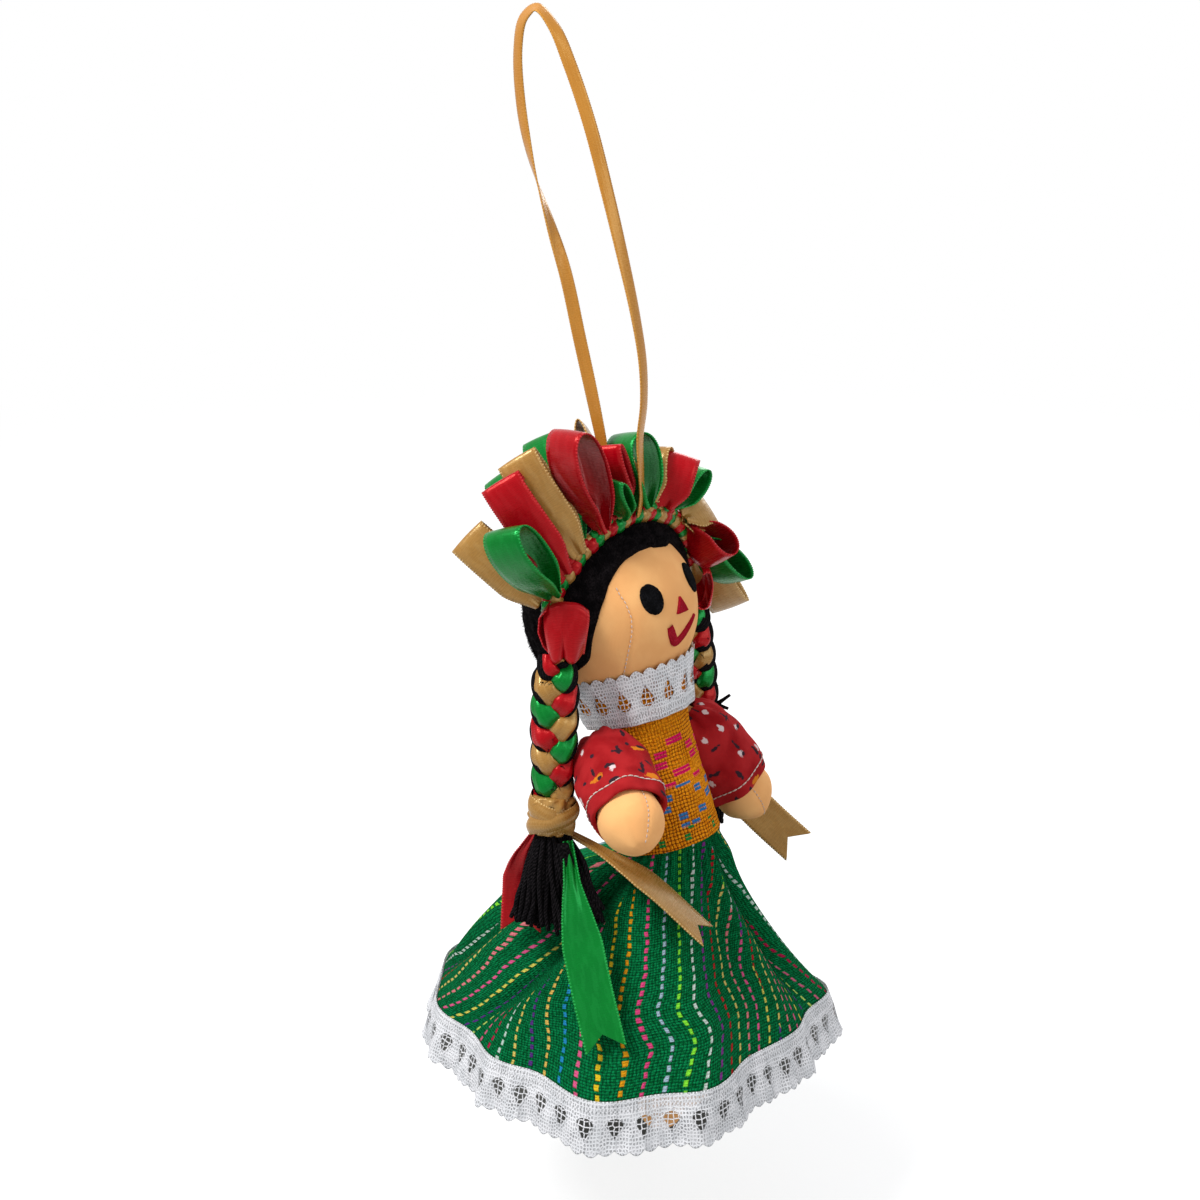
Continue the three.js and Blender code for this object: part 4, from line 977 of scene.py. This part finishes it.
def headdress_loop(number, colour, seat, heading, lean, twist, reach, opened, row):
    start = np.array((sind(seat) * LOOP_SEAT, row * 1.3, cosd(seat) * LOOP_SEAT))
    flat = np.array((sind(heading), 0, cosd(heading)))
    out = flat * cosd(lean) + np.array((0, sind(lean), 0))
    side = np.array((sind(heading + 90), 0, cosd(heading + 90)))
    side = side * cosd(twist) + np.cross(out, side) * sind(twist) + out * (out @ side) * (1 - cosd(twist))
    width = np.cross(out, side)
    s = np.linspace(0, 1, 90)
    rise = reach * (1 - np.cos(tau * s)) / 2
    sway = (opened / 2) * 1.45 * np.sin(tau * s) * np.sin(pi * s) + 0.5 * np.cos(pi * s)
    drift = 0.5 * np.sin(pi * s) ** 2 * math.sin(number * 2.4)
    line = start + np.outer(rise, out) + np.outer(sway, side) + np.outer(drift, width)
    away = np.minimum(1, (1 - np.cos(tau * s)) * 1.35)
    widths = RIBBON_WIDTH * lerp(0.34, 1.0, smoothstep(away, -0.25, 1.0))
    cloth = Cloth()
    strip(cloth, FAN_CENTRE + line @ FAN_FRAME.T, FAN_FRAME @ width, widths, pleat=1.1, cup=0.25)
    node = f"headdress_loop_{number:02d}_{colour}"
    piece = cloth.build(f"ribbon_loop_{number:02d}", [SATINS[colour]], "head", f"{colour}_satin", (node,),
                        thickness=0.3)
    lengths_along(line)[-1] / 1000


for number, loop in enumerate(LOOPS, 1):
    headdress_loop(number, *loop)


BOW_OUT = 27.4


def ear_bow(name, sign, forward, rise, node, yaw, size):
    """A ribbon folded over at its top, falling in deepening flutes to where both ends roll under."""
    seat = HEAD_CENTRE + (sign * BOW_OUT, -forward, rise)

    def place(x, out, z):
        return seat + stacked(x * size, -out * size, z * size) @ turn_z(yaw).T

    x = np.linspace(-1, 1, 61)[None]
    t = np.linspace(-0.25, 1.3, 90)[:, None]
    down = np.clip(t, 0, 1)
    over = np.clip(-t / 0.25, 0, 1) * pi * 0.8
    under = np.clip((t - 1) / 0.3, 0, 1) * pi * 0.9
    half = lerp(5.5, 4.2, down**1.4) * (1 - 0.125 * (1 - np.cos(under))) * (1 - 0.06 * (1 - np.cos(over)))
    ridges = smoothstep(down, 0.0, 0.9) * 0.35 * np.cos(x * 6.0 + 0.9) * (1 - 0.4 * x**2)
    ridges = ridges + 2.0 * down**1.6 * (np.abs(np.sin((x + 0.1) * pi * 0.95)) - 0.55)
    lobes = 1.6 * np.abs(np.sin((x + 0.14) * pi * 0.95)) * smoothstep(down, 0.45, 1.0)
    belly = 2.6 * (1 - x**2) ** 0.6 * (0.45 + 0.55 * down) + 0.9 * np.sin(down * pi)
    out = belly + ridges - 1.5 * (1 - np.cos(over)) - 1.9 * (1 - np.cos(under)) - 0.6 * x * down
    z = 1.4 * np.sin(over) - 10.6 * down - lobes - 1.5 * np.sin(under)
    z = z - 2.4 * np.abs(x) ** 3 * (1 - down) - 0.9
    cloth = Cloth().grid(place(half * x, out, z), stacked(x, t * 14.0))
    if size >= 1:
        # The other strand of the bow on the right curls round beside it
        w = np.linspace(-1, 1, 25)[None]
        s = np.linspace(0, 1, 50)[:, None]
        curl_x = np.interp(s, (0, 0.2, 0.5, 0.8, 1), (-4.4, -6.1, -6.4, -5.2, -3.4))
        curl_z = np.interp(s, (0, 0.2, 0.5, 0.8, 1), (-0.6, -2.6, -6.4, -10.0, -12.2))
        cloth.grid(place(curl_x - 0.3 * w, 2.2 * w * (1 - 0.3 * s) - 0.4, curl_z - 0.5 * w),
                   stacked(w * 0.97, s * 13))
    piece = cloth.build(name, [RED], "head", "red_satin", (node,), thickness=0.3)


ear_bow("right_ear_bow", -1, 6.5, 10.4, "ear_bow_right", -62, 1.0)
ear_bow("left_ear_bow", 1, 9.0, 6.4, "ear_bow_left", 78, 0.86)


# Body, under the clothes
def on_torso(points):
    return NECK + np.asarray(points, float) @ TORSO_TURN.T


def rings(profile, columns, rows, wobble):
    """Rings through a profile of heights, half widths and half depths, from the front round the right."""
    fine = smooth_line(profile, rows)
    angle = circle(columns)
    extra = wobble(angle[None], fine[:, :1])
    x = (fine[:, 1:2] + extra) * np.sin(angle)[None]
    y = -(fine[:, 2:3] + extra) * np.cos(angle)[None]
    around = np.linspace(0, tau, columns + 1)[None] * fine[:, 1].max()
    down = lengths_along(fine[:, :2])[:, None]
    return stacked(x, y, fine[:, :1]), stacked(around, down)


def torso():
    profile = [(-0.35, 5.2, 5.2), (-3.6, 5.2, 5.2), (-7, 9, 8.2), (-11, 10.8, 9.9), (-17, 11.6, 10.8),
               (-26, 11.4, 10.8), (-37, 10.9, 10.4), (-41.5, 9.9, 9.2), (-44.8, 7.2, 6.7), (-46.6, 2.2, 2.0)]
    points, uv = rings(profile, 72, 70, lambda angle, z: 0.15 * ripple(angle * 11, z, 31, 9.0))
    cloth = Cloth().grid(on_torso(points), uv, around=True, caps=(True, True))
    piece = cloth.build("body", [SKIN], "torso", "skin_cotton", ("torso_skin", "torso_stuffing"))


torso()

BODICE_HALF = 13.0


def bodice():
    profile = [(-3.7, 10.4, 9.8), (-5, 12.4, 11.4), (-8, 12.6, 11.4), (-11, 12.3, 11.3), (-17, 12.3, 11.5),
               (-24, 12.6, 12.0), (-32, 12.9, 12.3), (-37, 12.9, 12.3), (-38.6, BODICE_HALF, 12.4)]

    def soft(angle, z):
        return 0.28 * ripple(angle * 12, z, 33, 11.0) + 0.12 * ripple(angle * 12, z, 34, 4.0)

    points, uv = rings(profile, 160, 90, soft)
    hem = points[-1:] * (0.93, 0.93, 1.0) + (0, 0, -0.2)
    points = np.concatenate((points, hem))
    uv = np.concatenate((uv, uv[-1:] + (0, 0.9)))
    # The cloth is counted from its middle in front, to both sides
    uv[..., 0] = np.where(uv[..., 0] > pi * BODICE_HALF, uv[..., 0] - tau * BODICE_HALF, uv[..., 0])
    uv[:, -1, 0] = 0.0
    cloth = Cloth().grid(on_torso(points), uv, around=True)
    piece = cloth.build("woven_bodice", [BODICE], "torso", "mustard_weave", ("bodice",), thickness=0.5)


bodice()


def collar():
    """Lace that lies round the neck and stands up round the chin, with cloth behind its drops."""
    columns, low_rows = 480, 9
    angle = circle(columns)[None]
    share = np.concatenate((np.linspace(-0.62, -0.04, low_rows), np.linspace(0, 1, 40)))[:, None]
    u = np.linspace(0, COLLAR_REPEATS * LACE_REPEAT, columns + 1)[None] + 2.2
    edge = lace_reach(u) / (LACE_WIDTH - 0.45)
    share = np.where(share > 0, share * lerp(1.0, edge[:, :-1], np.clip(share, 0, 1)), share)
    radius = np.interp(share, (-0.62, -0.25, -0.03, 0.03, 0.5, 1), (5.75, 10.7, 13.9, 14.3, 15.6, 17.75))
    z = np.interp(share, (-0.62, -0.25, -0.03, 0.03, 0.5, 1), (-2.75, -2.55, -4.6, -4.9, 1.9, 9.0))
    ruffle = smoothstep(share, 0.0, 0.5) * 0.22 * ripple(angle * 14, share * 9, 41, 6.0)
    folds = 0.35 * np.cos(12 * angle) * smoothstep(share, -0.2, 0.1) * (1 - 0.5 * np.clip(share, 0, 1))
    r = radius + ruffle + folds
    points = stacked(r * np.sin(angle), -r * np.cos(angle), z)
    wide_share = np.hstack((share, share[:, :1]))
    uv = stacked(u, 0.2 + LACE_WIDTH * 0.96 * wide_share)
    cloth = Cloth().grid(on_torso(points), uv, around=True)
    standing = slice(low_rows, 40)
    lining = points[standing] - 0.5 * unit(points[standing] * (1, 1, 0))
    uv = stacked(np.linspace(60, 148, columns + 1)[None], 13 - wide_share[standing] * 12)
    cloth.grid(on_torso(lining), uv, around=True, slot=1)
    piece = cloth.build("lace_ruff", [WHITE_LACE, BODICE], None, "white_lace", ("lace_collar",),
                        thickness=0.16)
    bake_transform(piece)


collar()


# Arms and sleeves, each along its own axis from the shoulder
ARM_COLUMNS = 72
ARM_PROFILE = [(-2, 2.6, 2.6), (1, 4.2, 4.2), (8, 5.4, 5.4), (17, 6.6, 6.6), (21.5, 7.6, 7.6),
               (25.5, 7.9, 7.9), (29, 7.2, 7.2), (32, 5.1, 5.1), (34.2, 2.4, 2.4), (34.7, 0.8, 0.8)]
SLEEVE_PROFILE = [(-2.7, 4.0, 4.0), (-1.3, 5.9, 5.9), (1.5, 7.9, 7.9), (6, 9.2, 9.2), (12, 9.8, 9.8),
                  (18, 9.8, 9.8), (22, 9.4, 9.4), (23, 9.1, 9.1), (22.9, 8.6, 8.6), (20, 8.3, 8.3)]


def pointed(direction):
    """Turn from +Z to a direction, by the shortest way."""
    direction = unit(direction)
    axis = np.cross((0, 0, 1), direction)
    s, c = np.linalg.norm(axis), direction[2]
    axis = axis / s
    k = np.array(((0, -axis[2], axis[1]), (axis[2], 0, -axis[0]), (-axis[1], axis[0], 0)))
    return np.eye(3) + s * k + (1 - c) * (k @ k)


def arm(name, sign, reach, drop, forward, down, seam, seed):
    shoulder = on_torso((sign * reach, 0, -drop))
    turn = pointed((sign * cosd(down) * cosd(forward), -cosd(down) * sind(forward), -sind(down)))

    def place(points):
        return shoulder + points @ turn.T

    points, uv = rings(ARM_PROFILE, ARM_COLUMNS, 70, lambda angle, z: 0.16 * ripple(angle * 7, z, seed, 7.0))
    away = np.abs(circle(ARM_COLUMNS)[None] - seam)
    points[..., :2] *= 1 - 0.035 * bell(np.minimum(away, tau - away) * 7.0, 0.7)[..., None]
    cloth = Cloth().grid(place(points), uv, around=True, caps=(True, True))
    body = f"arm_{name}"
    piece = cloth.build(f"{name}_arm", [SKIN], body, "skin_cotton", (f"arm_{name}", f"arm_stuffing_{name}"))
    column = int(round(seam / tau * ARM_COLUMNS)) % ARM_COLUMNS
    line = points[22:68, column]
    out = unit(line * (1, 1, 0) + (0, 0, 0.01))
    thread = Cloth()
    stitches(thread, place(line), out @ turn.T, length=0.8, gap=0.45, radius=0.13)
    thread.build(f"{name}_arm_seam", [THREAD], body, "skin_cotton")

    def puffs(angle, z):
        gather = smoothstep(-z, -6, 1.5)
        return (0.35 * gather * np.sin(angle * 13 + seed) + 0.5 * ripple(angle * 9, z, seed + 1, 9.0)
                + 0.5 * smoothstep(z, 14, 22) * np.sin(angle * 3 + seed) * np.sin(angle * 2 + 1.3))

    sleeve, sleeve_uv = rings(SLEEVE_PROFILE, 140, 90, puffs)
    cloth = Cloth().grid(place(sleeve), sleeve_uv, around=True)
    piece = cloth.build(f"{name}_sleeve", [SLEEVE], body, "printed_cotton", (f"sleeve_{name}",),
                        thickness=0.4)
    row = int(np.abs(sleeve[:60, 0, 2] - 20.2).argmin())
    ring = np.vstack((sleeve[row], sleeve[row, :1]))
    out = unit(ring * (1, 1, 0))
    hem = Cloth()
    stitches(hem, place(ring + out * 0.22), out @ turn.T, length=1.5, gap=0.12, radius=0.17)
    hem.build(f"{name}_sleeve_stitching", [THREAD], body, "printed_cotton")


arm("right", -1, 17.4, 9, 51, 20, 2.1, 51)
arm("left", 1, 19.2, 13, 50, 55, 4.95, 57)


# The legs' places beside the middle and under the neck's base, against the body's rounded end
HIP_OUT = 6.3
HIP_DROP = 47 - 2.2 * HIP_OUT / (11.6 * 0.62)


def leg(name, sign):
    hip = on_torso((sign * HIP_OUT, 0, -HIP_DROP))
    profile = [(0.7, 1.3, 1.3), (3.4, 3.9, 3.9), (8, 5.3, 5.3), (26, 5.6, 5.6), (50, 5.2, 5.2),
               (64, 5.5, 5.5), (69.8, 6.2, 6.2), (74.1, 4.4, 4.4), (75.6, 1.6, 1.6)]
    points, uv = rings(profile, 48, 80, lambda angle, z: 0.14 * ripple(angle * 5.5, z, 61 + sign, 8.0))
    cloth = Cloth().grid(hip + points * (1, -1, -1), uv, around=True, caps=(True, True))
    piece = cloth.build(f"{name}_leg", [SKIN], f"leg_{name}", "skin_cotton",
                        (f"leg_{name}", f"leg_stuffing_{name}"))


leg("right", -1)
leg("left", 1)

# Skirt and its lace; angles run from the front towards the doll's right
HEM_SHIFTS = (-5, 0, 6, -1, -1, 1, 0, -1, 0, -4, -7, -1)
# How the skirt swells below the waist, every 30 degrees: under 1 it stands out at once, over 1 it hangs in
SWELLS = (1.8, 1.48, 1.16, 0.93, 0.72, 0.22, 0.4, 0.9, 1.6, 2, 2.1, 2)
SKIRT_TOP = on_torso((0, 0, -WAIST_DROP))


def round_about(values):
    """A smooth closed line through values spaced evenly around the skirt."""
    values = np.asarray(values, float)
    count = len(values)

    def at(angle):
        place = np.asarray(angle, float) % tau * count / tau
        k = np.floor(place).astype(int)
        t = place - k
        p0, p1, p2, p3 = (values[(k + step) % count] for step in (-1, 0, 1, 2))
        bend = 2 * p0 - 5 * p1 + 4 * p2 - p3 + t * (3 * (p1 - p2) + p3 - p0)
        return p1 + 0.5 * t * (p2 - p0 + t * bend)

    return at


hem_shift = round_about(HEM_SHIFTS)
swell_power = round_about(SWELLS)


def skirt_points(angle, t, extra=0.0):
    swell = t ** swell_power(angle)
    shift = hem_shift(angle)
    fold = 1.6 * np.cos(11 * angle) * t + extra
    radius_x = lerp(WAIST_X, HEM_RADIUS + shift, swell) + fold
    radius_y = lerp(WAIST_Y, HEM_RADIUS + shift, swell) + fold
    tilt = TORSO_LEAN * (1 - t)
    depth = -radius_y * np.cos(angle)
    y = SKIRT_TOP[1] * (1 - t**1.5) + depth * cosd(tilt)
    return stacked(-radius_x * np.sin(angle), y, lerp(SKIRT_TOP[2], HEM_HEIGHT, t) - depth * sind(tilt))


# Deep folds in degrees at the waist, and how far each has turned at the hem
FOLDS = ((-14, -6), (94, 22), (138, 12), (178, 2), (222, 0), (262, -4), (306, -6))


def fold_angles(t):
    lines = [np.radians(at + drift * np.asarray(t, float) ** 0.8) for at, drift in FOLDS]
    return [lines[-1] - tau] + lines + [lines[0] + tau, lines[1] + tau]


def skirt_folds(angle, t):
    """Gathers under the waist, deep folds, and soft wide ones between them."""
    angle, t = np.broadcast_arrays(np.asarray(angle, float), np.asarray(t, float))
    turned = np.where(angle > math.radians(360 - 20), angle - tau, angle)
    radius = lerp(WAIST_X, HEM_RADIUS, t)
    deep = np.zeros(angle.shape)
    for line in fold_angles(t):
        away = (turned - line) * radius
        deep = deep - bell(away, lerp(1.5, 3.6, t)) + 0.45 * bell(np.abs(away) - 4.5, 3.5)
    deep = deep * 2.3 * smoothstep(t, 0.0, 0.2) * (1 - smoothstep(t, 0.72, 1.0))
    gathers = 0.4 * np.cos(34 * angle + 1.5 * np.sin(3 * angle))
    gathers = gathers * smoothstep(t, 0.0, 0.06) * (1 - smoothstep(t, 0.1, 0.5))
    lean = angle + 0.35 * t
    wide = 0.9 * np.sin(7 * lean + 0.6) + 0.7 * np.sin(12 * lean + 2.1 * np.sin(2 * angle))
    side = (angle - math.radians(325) + pi) % tau - pi
    # The skirt is fuller at its left front
    full = 4.0 * bell(side, 0.62) * np.sin(pi * np.clip(t, 0, 1)) ** 1.2
    return gathers + deep + full + wide * smoothstep(t, 0.08, 0.6) * (1 - 0.35 * t)


def stripe_place(angle, t):
    """Where the cloth at a point lies along the hem, in mm: even between the folds and squeezed into them."""
    angle, t = np.broadcast_arrays(np.asarray(angle, float), np.asarray(t, float))
    lines, ends = fold_angles(t), fold_angles(1.0)
    scale = np.clip(lerp(WAIST_X, HEM_RADIUS, t ** 1.2) / HEM_RADIUS, 0, 1)
    place = np.zeros(angle.shape)
    for k in range(len(lines) - 1):
        inside = (angle >= lines[k]) & (angle < lines[k + 1])
        x = (angle - lines[k]) / (lines[k + 1] - lines[k]) - 0.5
        f = scale * x + (1 - scale) * 0.5 * np.sign(x) * np.abs(2 * x) ** 13
        place = np.where(inside, (ends[k] + (ends[k + 1] - ends[k]) * (0.5 + f)) * HEM_RADIUS, place)
    return place


def skirt():
    columns, rows = 420, 110
    angle = circle(columns)[None]
    t = np.linspace(0, 1, rows)[:, None]
    points = skirt_points(angle, t, skirt_folds(angle, t))
    band = on_torso(stacked(-WAIST_X * np.sin(angle[0]), -WAIST_Y * np.cos(angle[0]), -35.0))[None]
    turned_in = points[-1:] * (0.985, 0.985, 1) + (0, 0, 0.5)
    points = np.concatenate((band, points, turned_in))
    around = np.linspace(0, tau, columns + 1)[None]
    down = np.concatenate(((-3.5,), t[:, 0] * SKIRT_LENGTH, (SKIRT_LENGTH + 0.6,)))[:, None]
    level = np.clip(down / SKIRT_LENGTH, 0, 1)
    # The stripes bend at the doll's right front and sway a little everywhere
    kink = 7.0 * smoothstep(level, 0.66, 0.86) * bell((around - 0.6 + pi) % tau - pi, 0.75)
    sway = 1.3 * np.sin(level * 9 + around * 3) * level
    place = stripe_place(around, level)
    cloth = Cloth().grid(points, stacked(place + kink + sway, down), around=True)
    piece = cloth.build("gathered_skirt", [SKIRT], "torso", "striped_cloth", ("skirt",), thickness=0.5)
    # Where the cloth is drawn into a fold its stripes are out of sight
    drawn_in = np.gradient(place, around[0], axis=1) / lerp(WAIST_X, HEM_RADIUS, level)
    tucked = piece.data.attributes.new("tucked", "FLOAT", "POINT")
    tucked.data.foreach_set("value", smoothstep(drawn_in[:, :-1], 1.8, 3.2).astype(np.float32).ravel())


skirt()


def hem_lace():
    columns = 1020
    angle = circle(columns)[None]
    s = np.linspace(0, 1, 40)[:, None]
    hem = skirt_points(angle, 1.0, skirt_folds(angle, 1.0))
    outward = unit(hem * (1, 1, 0))
    along = angle * HEM_RADIUS
    ruffle = 0.75 * np.sin(29 * angle + 1.2 * np.sin(4 * angle)) + 0.5 * ripple(along, s * 13, 71, 9.0)
    flare = s * (3.6 + ruffle) + 0.35
    points = hem + outward * flare[..., None]
    u = np.linspace(0, HEM_REPEATS * LACE_REPEAT, columns + 1)[None]
    down = s * lace_reach(u)
    points[..., 2] = (HEM_HEIGHT + 0.9 - down[:, :-1] * (LACE_WIDTH + 0.4) / LACE_WIDTH
                      + 0.25 * ripple(along, s, 72, 8.0) * s)
    cloth = Cloth().grid(points, stacked(u, down), around=True)
    piece = cloth.build("lace_edging", [WHITE_LACE], "torso", "white_lace", ("hem_lace",), thickness=0.2)


hem_lace()

# Braids: three strands of yarn, each faced with a ribbon, then a tie, a tassel and three ribbon tails
BRAIDS = {
    "right": dict(
        sign=-1, top=(-28.6, 3.6, 115), lean=3, forward=10, outward=7, facing=75, yaw=-55, cover=1.0, tails=[
        ("gold", [(-3.5, -3.3, -0.6), (-7, -12, -5), (-9.4, -23.3, -11), (-14.6, -37.4, -23.2)],
         (1.1, -0.35, 0)),
        ("green", [(0.5, -5.3, -0.4), (5.4, -10.6, -12), (11.2, -18.8, -27.7), (15.4, -27.3, -44.5)],
         (-0.6, -0.8, 0)),
        ("red", [(1.0, 4.2, -0.4), (1.0, 7.6, -8), (0.9, 8.6, -18), (1.6, 8.8, -29)], (-0.5, -0.85, 0.1))]),
    "left": dict(
        sign=1, top=(28.4, 2.2, 112.6), lean=12, forward=0, outward=4, facing=30, yaw=-40, cover=0.78, tails=[
        ("gold", [(-1.4, -4, -0.8), (1.5, -10, -10), (4, -16.5, -17), (7, -26, -25)], (0.6, -0.47, 0.63)),
        ("red", [(4.1, 0.8, -0.3), (9.5, 1, -1), (13, 0.5, -7), (14.5, 0, -16)], (0, 1, 0)),
        ("green", [(1.2, 4.1, -0.3), (4, 9, -10), (8, 12, -24), (12, 15, -38)], (0.8, -0.5, 0))]),
}
DOWN = np.array((0, 0, -1.0))
TIE_TOP = BRAID_LENGTH + SEAM_GAP
# Start and turn in degrees, heights under the tie's top, width and distance of the two ribbons round each tie
WRAPS = ((210, -240, 1.2, 8.6, 5.6, 0.4), (-30, 240, 2.6, 9.0, 4.4, 1.0))
STRAY_FIBRES, TASSEL_ENDS, LOOSE_ENDS = 46, 110, 16


def braid_strands(name, place, up, wide, front, cover):
    ribbons, strands = Cloth(), Cloth()
    z = np.linspace(1.5, -BRAID_LENGTH - 1.0, 150)
    for k, slot in enumerate((1, 2, 0)):
        s = -z / BRAID_PERIOD * tau + k * tau / 3 + 0.9
        swell = np.interp(z, (-BRAID_LENGTH, -BRAID_LENGTH * 0.5, -4, 1.5), (0.86, 1.0, 0.98, 0.7))
        bare = cover * np.interp(z, (-9, -4, 1.5), (1.0, 0.8, 0.6))
        x = 2.75 * np.sin(s) * swell
        depth = -1.5 * np.sin(2 * s) * swell
        line = np.outer(x, wide) + np.outer(depth, front) - np.outer(z, DOWN)
        thick = 2.95 * swell * (1 + 0.05 * np.sin(z * 2.1 + k * 2)) * bare
        tube(ribbons, place(line + front * 0.35), thick, 30, flatten=0.5, up=up, slot=slot, span=0.84,
             flute=0.075)
        shade = line + np.outer(np.sign(x) * 0.45, wide) - front * 0.45 + DOWN * 0.7
        tube(strands, place(shade), 2.9 * swell, 12, flatten=0.62, up=up)
    for _ in range(STRAY_FIBRES):
        angle = random.uniform(0, tau)
        spot = random.uniform(-BRAID_LENGTH, 1.0)
        root = wide * math.cos(angle) * 4.6 + front * math.sin(angle) * 2.6 - DOWN * spot
        way = unit(root * (1, 1, 0) + random.normal(0, 0.5, 3) * 4)
        line = np.array((root, root + way * 0.7, root + way * 1.2 + DOWN * 0.5))
        tube(strands, place(line), (0.14, 0.1, 0.05), 4)
    body = f"braid_{name}"
    ribbons.build(f"{name}_braid", [RED, GREEN, GOLD], body, "hair_yarn", (f"braid_{name}",))
    if name == "left":
        # A tuft of yarn sticks out near the left braid's end
        knot = place(DOWN * 31.0) + RIGHT * 4.4
        for tip in (RIGHT * 3.6 + (0, 0, 2.8), RIGHT * 3.2 - (0, 0, 1.2)):
            tube(strands, knot + np.outer((0, 0.5, 1.0), tip), (0.75, 0.5, 0.4), 8)
    strands.build(f"{name}_braid_yarn", [YARN], body, "hair_yarn")


def braid_tie(name, place, turn, wide, front):
    """A gathered barrel with two ribbons crossing over it."""
    cloth = Cloth()
    rows = np.linspace(0, 1, 40)[:, None]
    angle = circle(96)[None]
    barrel = np.interp(rows, (0, 0.12, 0.5, 0.8, 1), (4.6, 5.3, 5.7, 5.1, 4.0))
    r = barrel + 0.35 * np.sin(angle * 5 + rows * 9) + 0.25 * np.sin(angle * 9 - rows * 14)
    local = (r * np.cos(angle))[..., None] * wide + (r * np.sin(angle) * 0.82)[..., None] * front
    local = local + (TIE_TOP + TIE_HEIGHT * rows)[..., None] * DOWN
    uv = stacked((rows * 2 - 1) * 0.85, np.linspace(0, 39, 97)[None])
    cloth.grid(place(local), uv, around=True, caps=(True, True))
    for begin, turn_by, high, low, size, over in WRAPS:
        way = np.radians(begin + np.linspace(0, turn_by, 60))
        drop = np.linspace(high, low, 60)
        grip = np.interp(drop, (0, 1.2, 5, 8, 10), (4.9, 5.6, 6.0, 5.4, 4.3)) + over + 0.15 * np.sin(way * 5)
        grip = grip * (1 - 0.12 * np.linspace(-1, 1, 60) ** 8)
        wrap = np.outer(grip * np.cos(way), wide) + np.outer(grip * np.sin(way) * 0.82, front)
        wrap = wrap + np.outer(TIE_TOP + drop, DOWN)
        strip(cloth, place(wrap), -DOWN @ turn.T, size, cup=np.sign(turn_by), columns=11)
    cloth.build(f"{name}_braid_tie", [GOLD], f"braid_{name}", "gold_satin", (f"braid_tie_{name}",))


def braid_tassel(name, foot, turn):
    """Loose yarn ends under the tie."""
    cloth = Cloth()
    for k in range(TASSEL_ENDS):
        side = random.uniform(-1, 1)
        deep = math.sqrt(max(0.0, 1 - side**2)) * random.uniform(-1, 1)
        start = np.array((3.4 * side, 2.7 * deep, 0.8))
        end = np.array((12.2 * side, 4.2 * deep, -24.8 + random.uniform(-0.6, 3.4) + 2.4 * abs(side)))
        mid = lerp(start, end, 0.45) + (0.6 * side, 0.5 * deep, 0) + random.normal(0, 0.4, 3)
        low = lerp(start, end, 0.8) + random.normal(0, 0.4, 3)
        line = smooth_line([start, mid, low, end + random.normal(0, 0.3, 3)], 16)
        tube(cloth, foot + line @ turn.T, 0.68 * np.append(np.ones(14), (0.95, 0.75)), 6, v0=k * 3.1)
    if name == "right":
        # Some yarn hangs in front of the other ends
        for k in range(LOOSE_ENDS):
            side, far = random.uniform(0, 1), random.uniform(0, 1)
            way = ((2.0 + 1.6 * side, 4.9, -0.6), (3.4 + 3.0 * side, 7.2, -8.5), (5.0 + 4.6 * side, 8.7, -15),
                   (6.2 + 5.6 * side, 9.2, -18.5 - 2.5 * far))
            line = smooth_line([foot + RIGHT * r + BACK * b - DOWN * (z - 0.342 * b) for r, b, z in way], 14)
            tube(cloth, line, 0.62 * np.append(np.ones(12), (0.95, 0.75)), 6, v0=k * 2.7)
    cloth.build(f"{name}_braid_tassel", [YARN], f"braid_{name}", "hair_yarn", (f"braid_tassel_{name}",))


def braid_tail(name, line, front, across, colour):
    places = lengths_along(line)
    share = places / places[-1]
    widths = RIBBON_WIDTH * np.interp(share, (0, 0.2, 0.36, 0.5), (0.2, 0.4, 0.75, 1))
    wave = 0.5 * np.sin(share * pi * 2.2 + 1.0) * smoothstep(places, 4, 12)
    cloth = Cloth()
    strip(cloth, line + np.outer(wave, front), across, widths, notch=4.0, pleat=0.9, cup=0.35, columns=13)
    piece = cloth.build(f"{name}_tail_{colour}", [SATINS[colour]], f"braid_{name}", f"{colour}_satin",
                        (f"braid_tail_{colour}_{name}",), thickness=0.25)


def braid(name, sign, top, lean, forward, outward, facing, yaw, cover, tails):
    turn = turn_y(-sign * lean)
    wide, front = turn_z(yaw) @ (1.0, 0, 0), turn_z(yaw) @ (0, -1.0, 0)

    def place(points):
        return np.array(top, float) + points @ turn.T

    braid_strands(name, place, front @ turn.T, wide, front, cover)
    braid_tie(name, place, turn, wide, front)
    foot = place(DOWN * (TIE_TOP + TIE_HEIGHT + SEAM_GAP))
    braid_tassel(name, foot, turn_x(-forward) @ turn_y(-sign * outward) @ turn_z(sign * facing))
    for colour, corners, across in tails:
        line = foot + smooth_line(np.array(corners) * (sign, 1, 1), 40)
        braid_tail(name, line, front, np.array(across) * (sign, 1, 1), colour)


for name, shape in BRAIDS.items():
    braid(name, **shape)
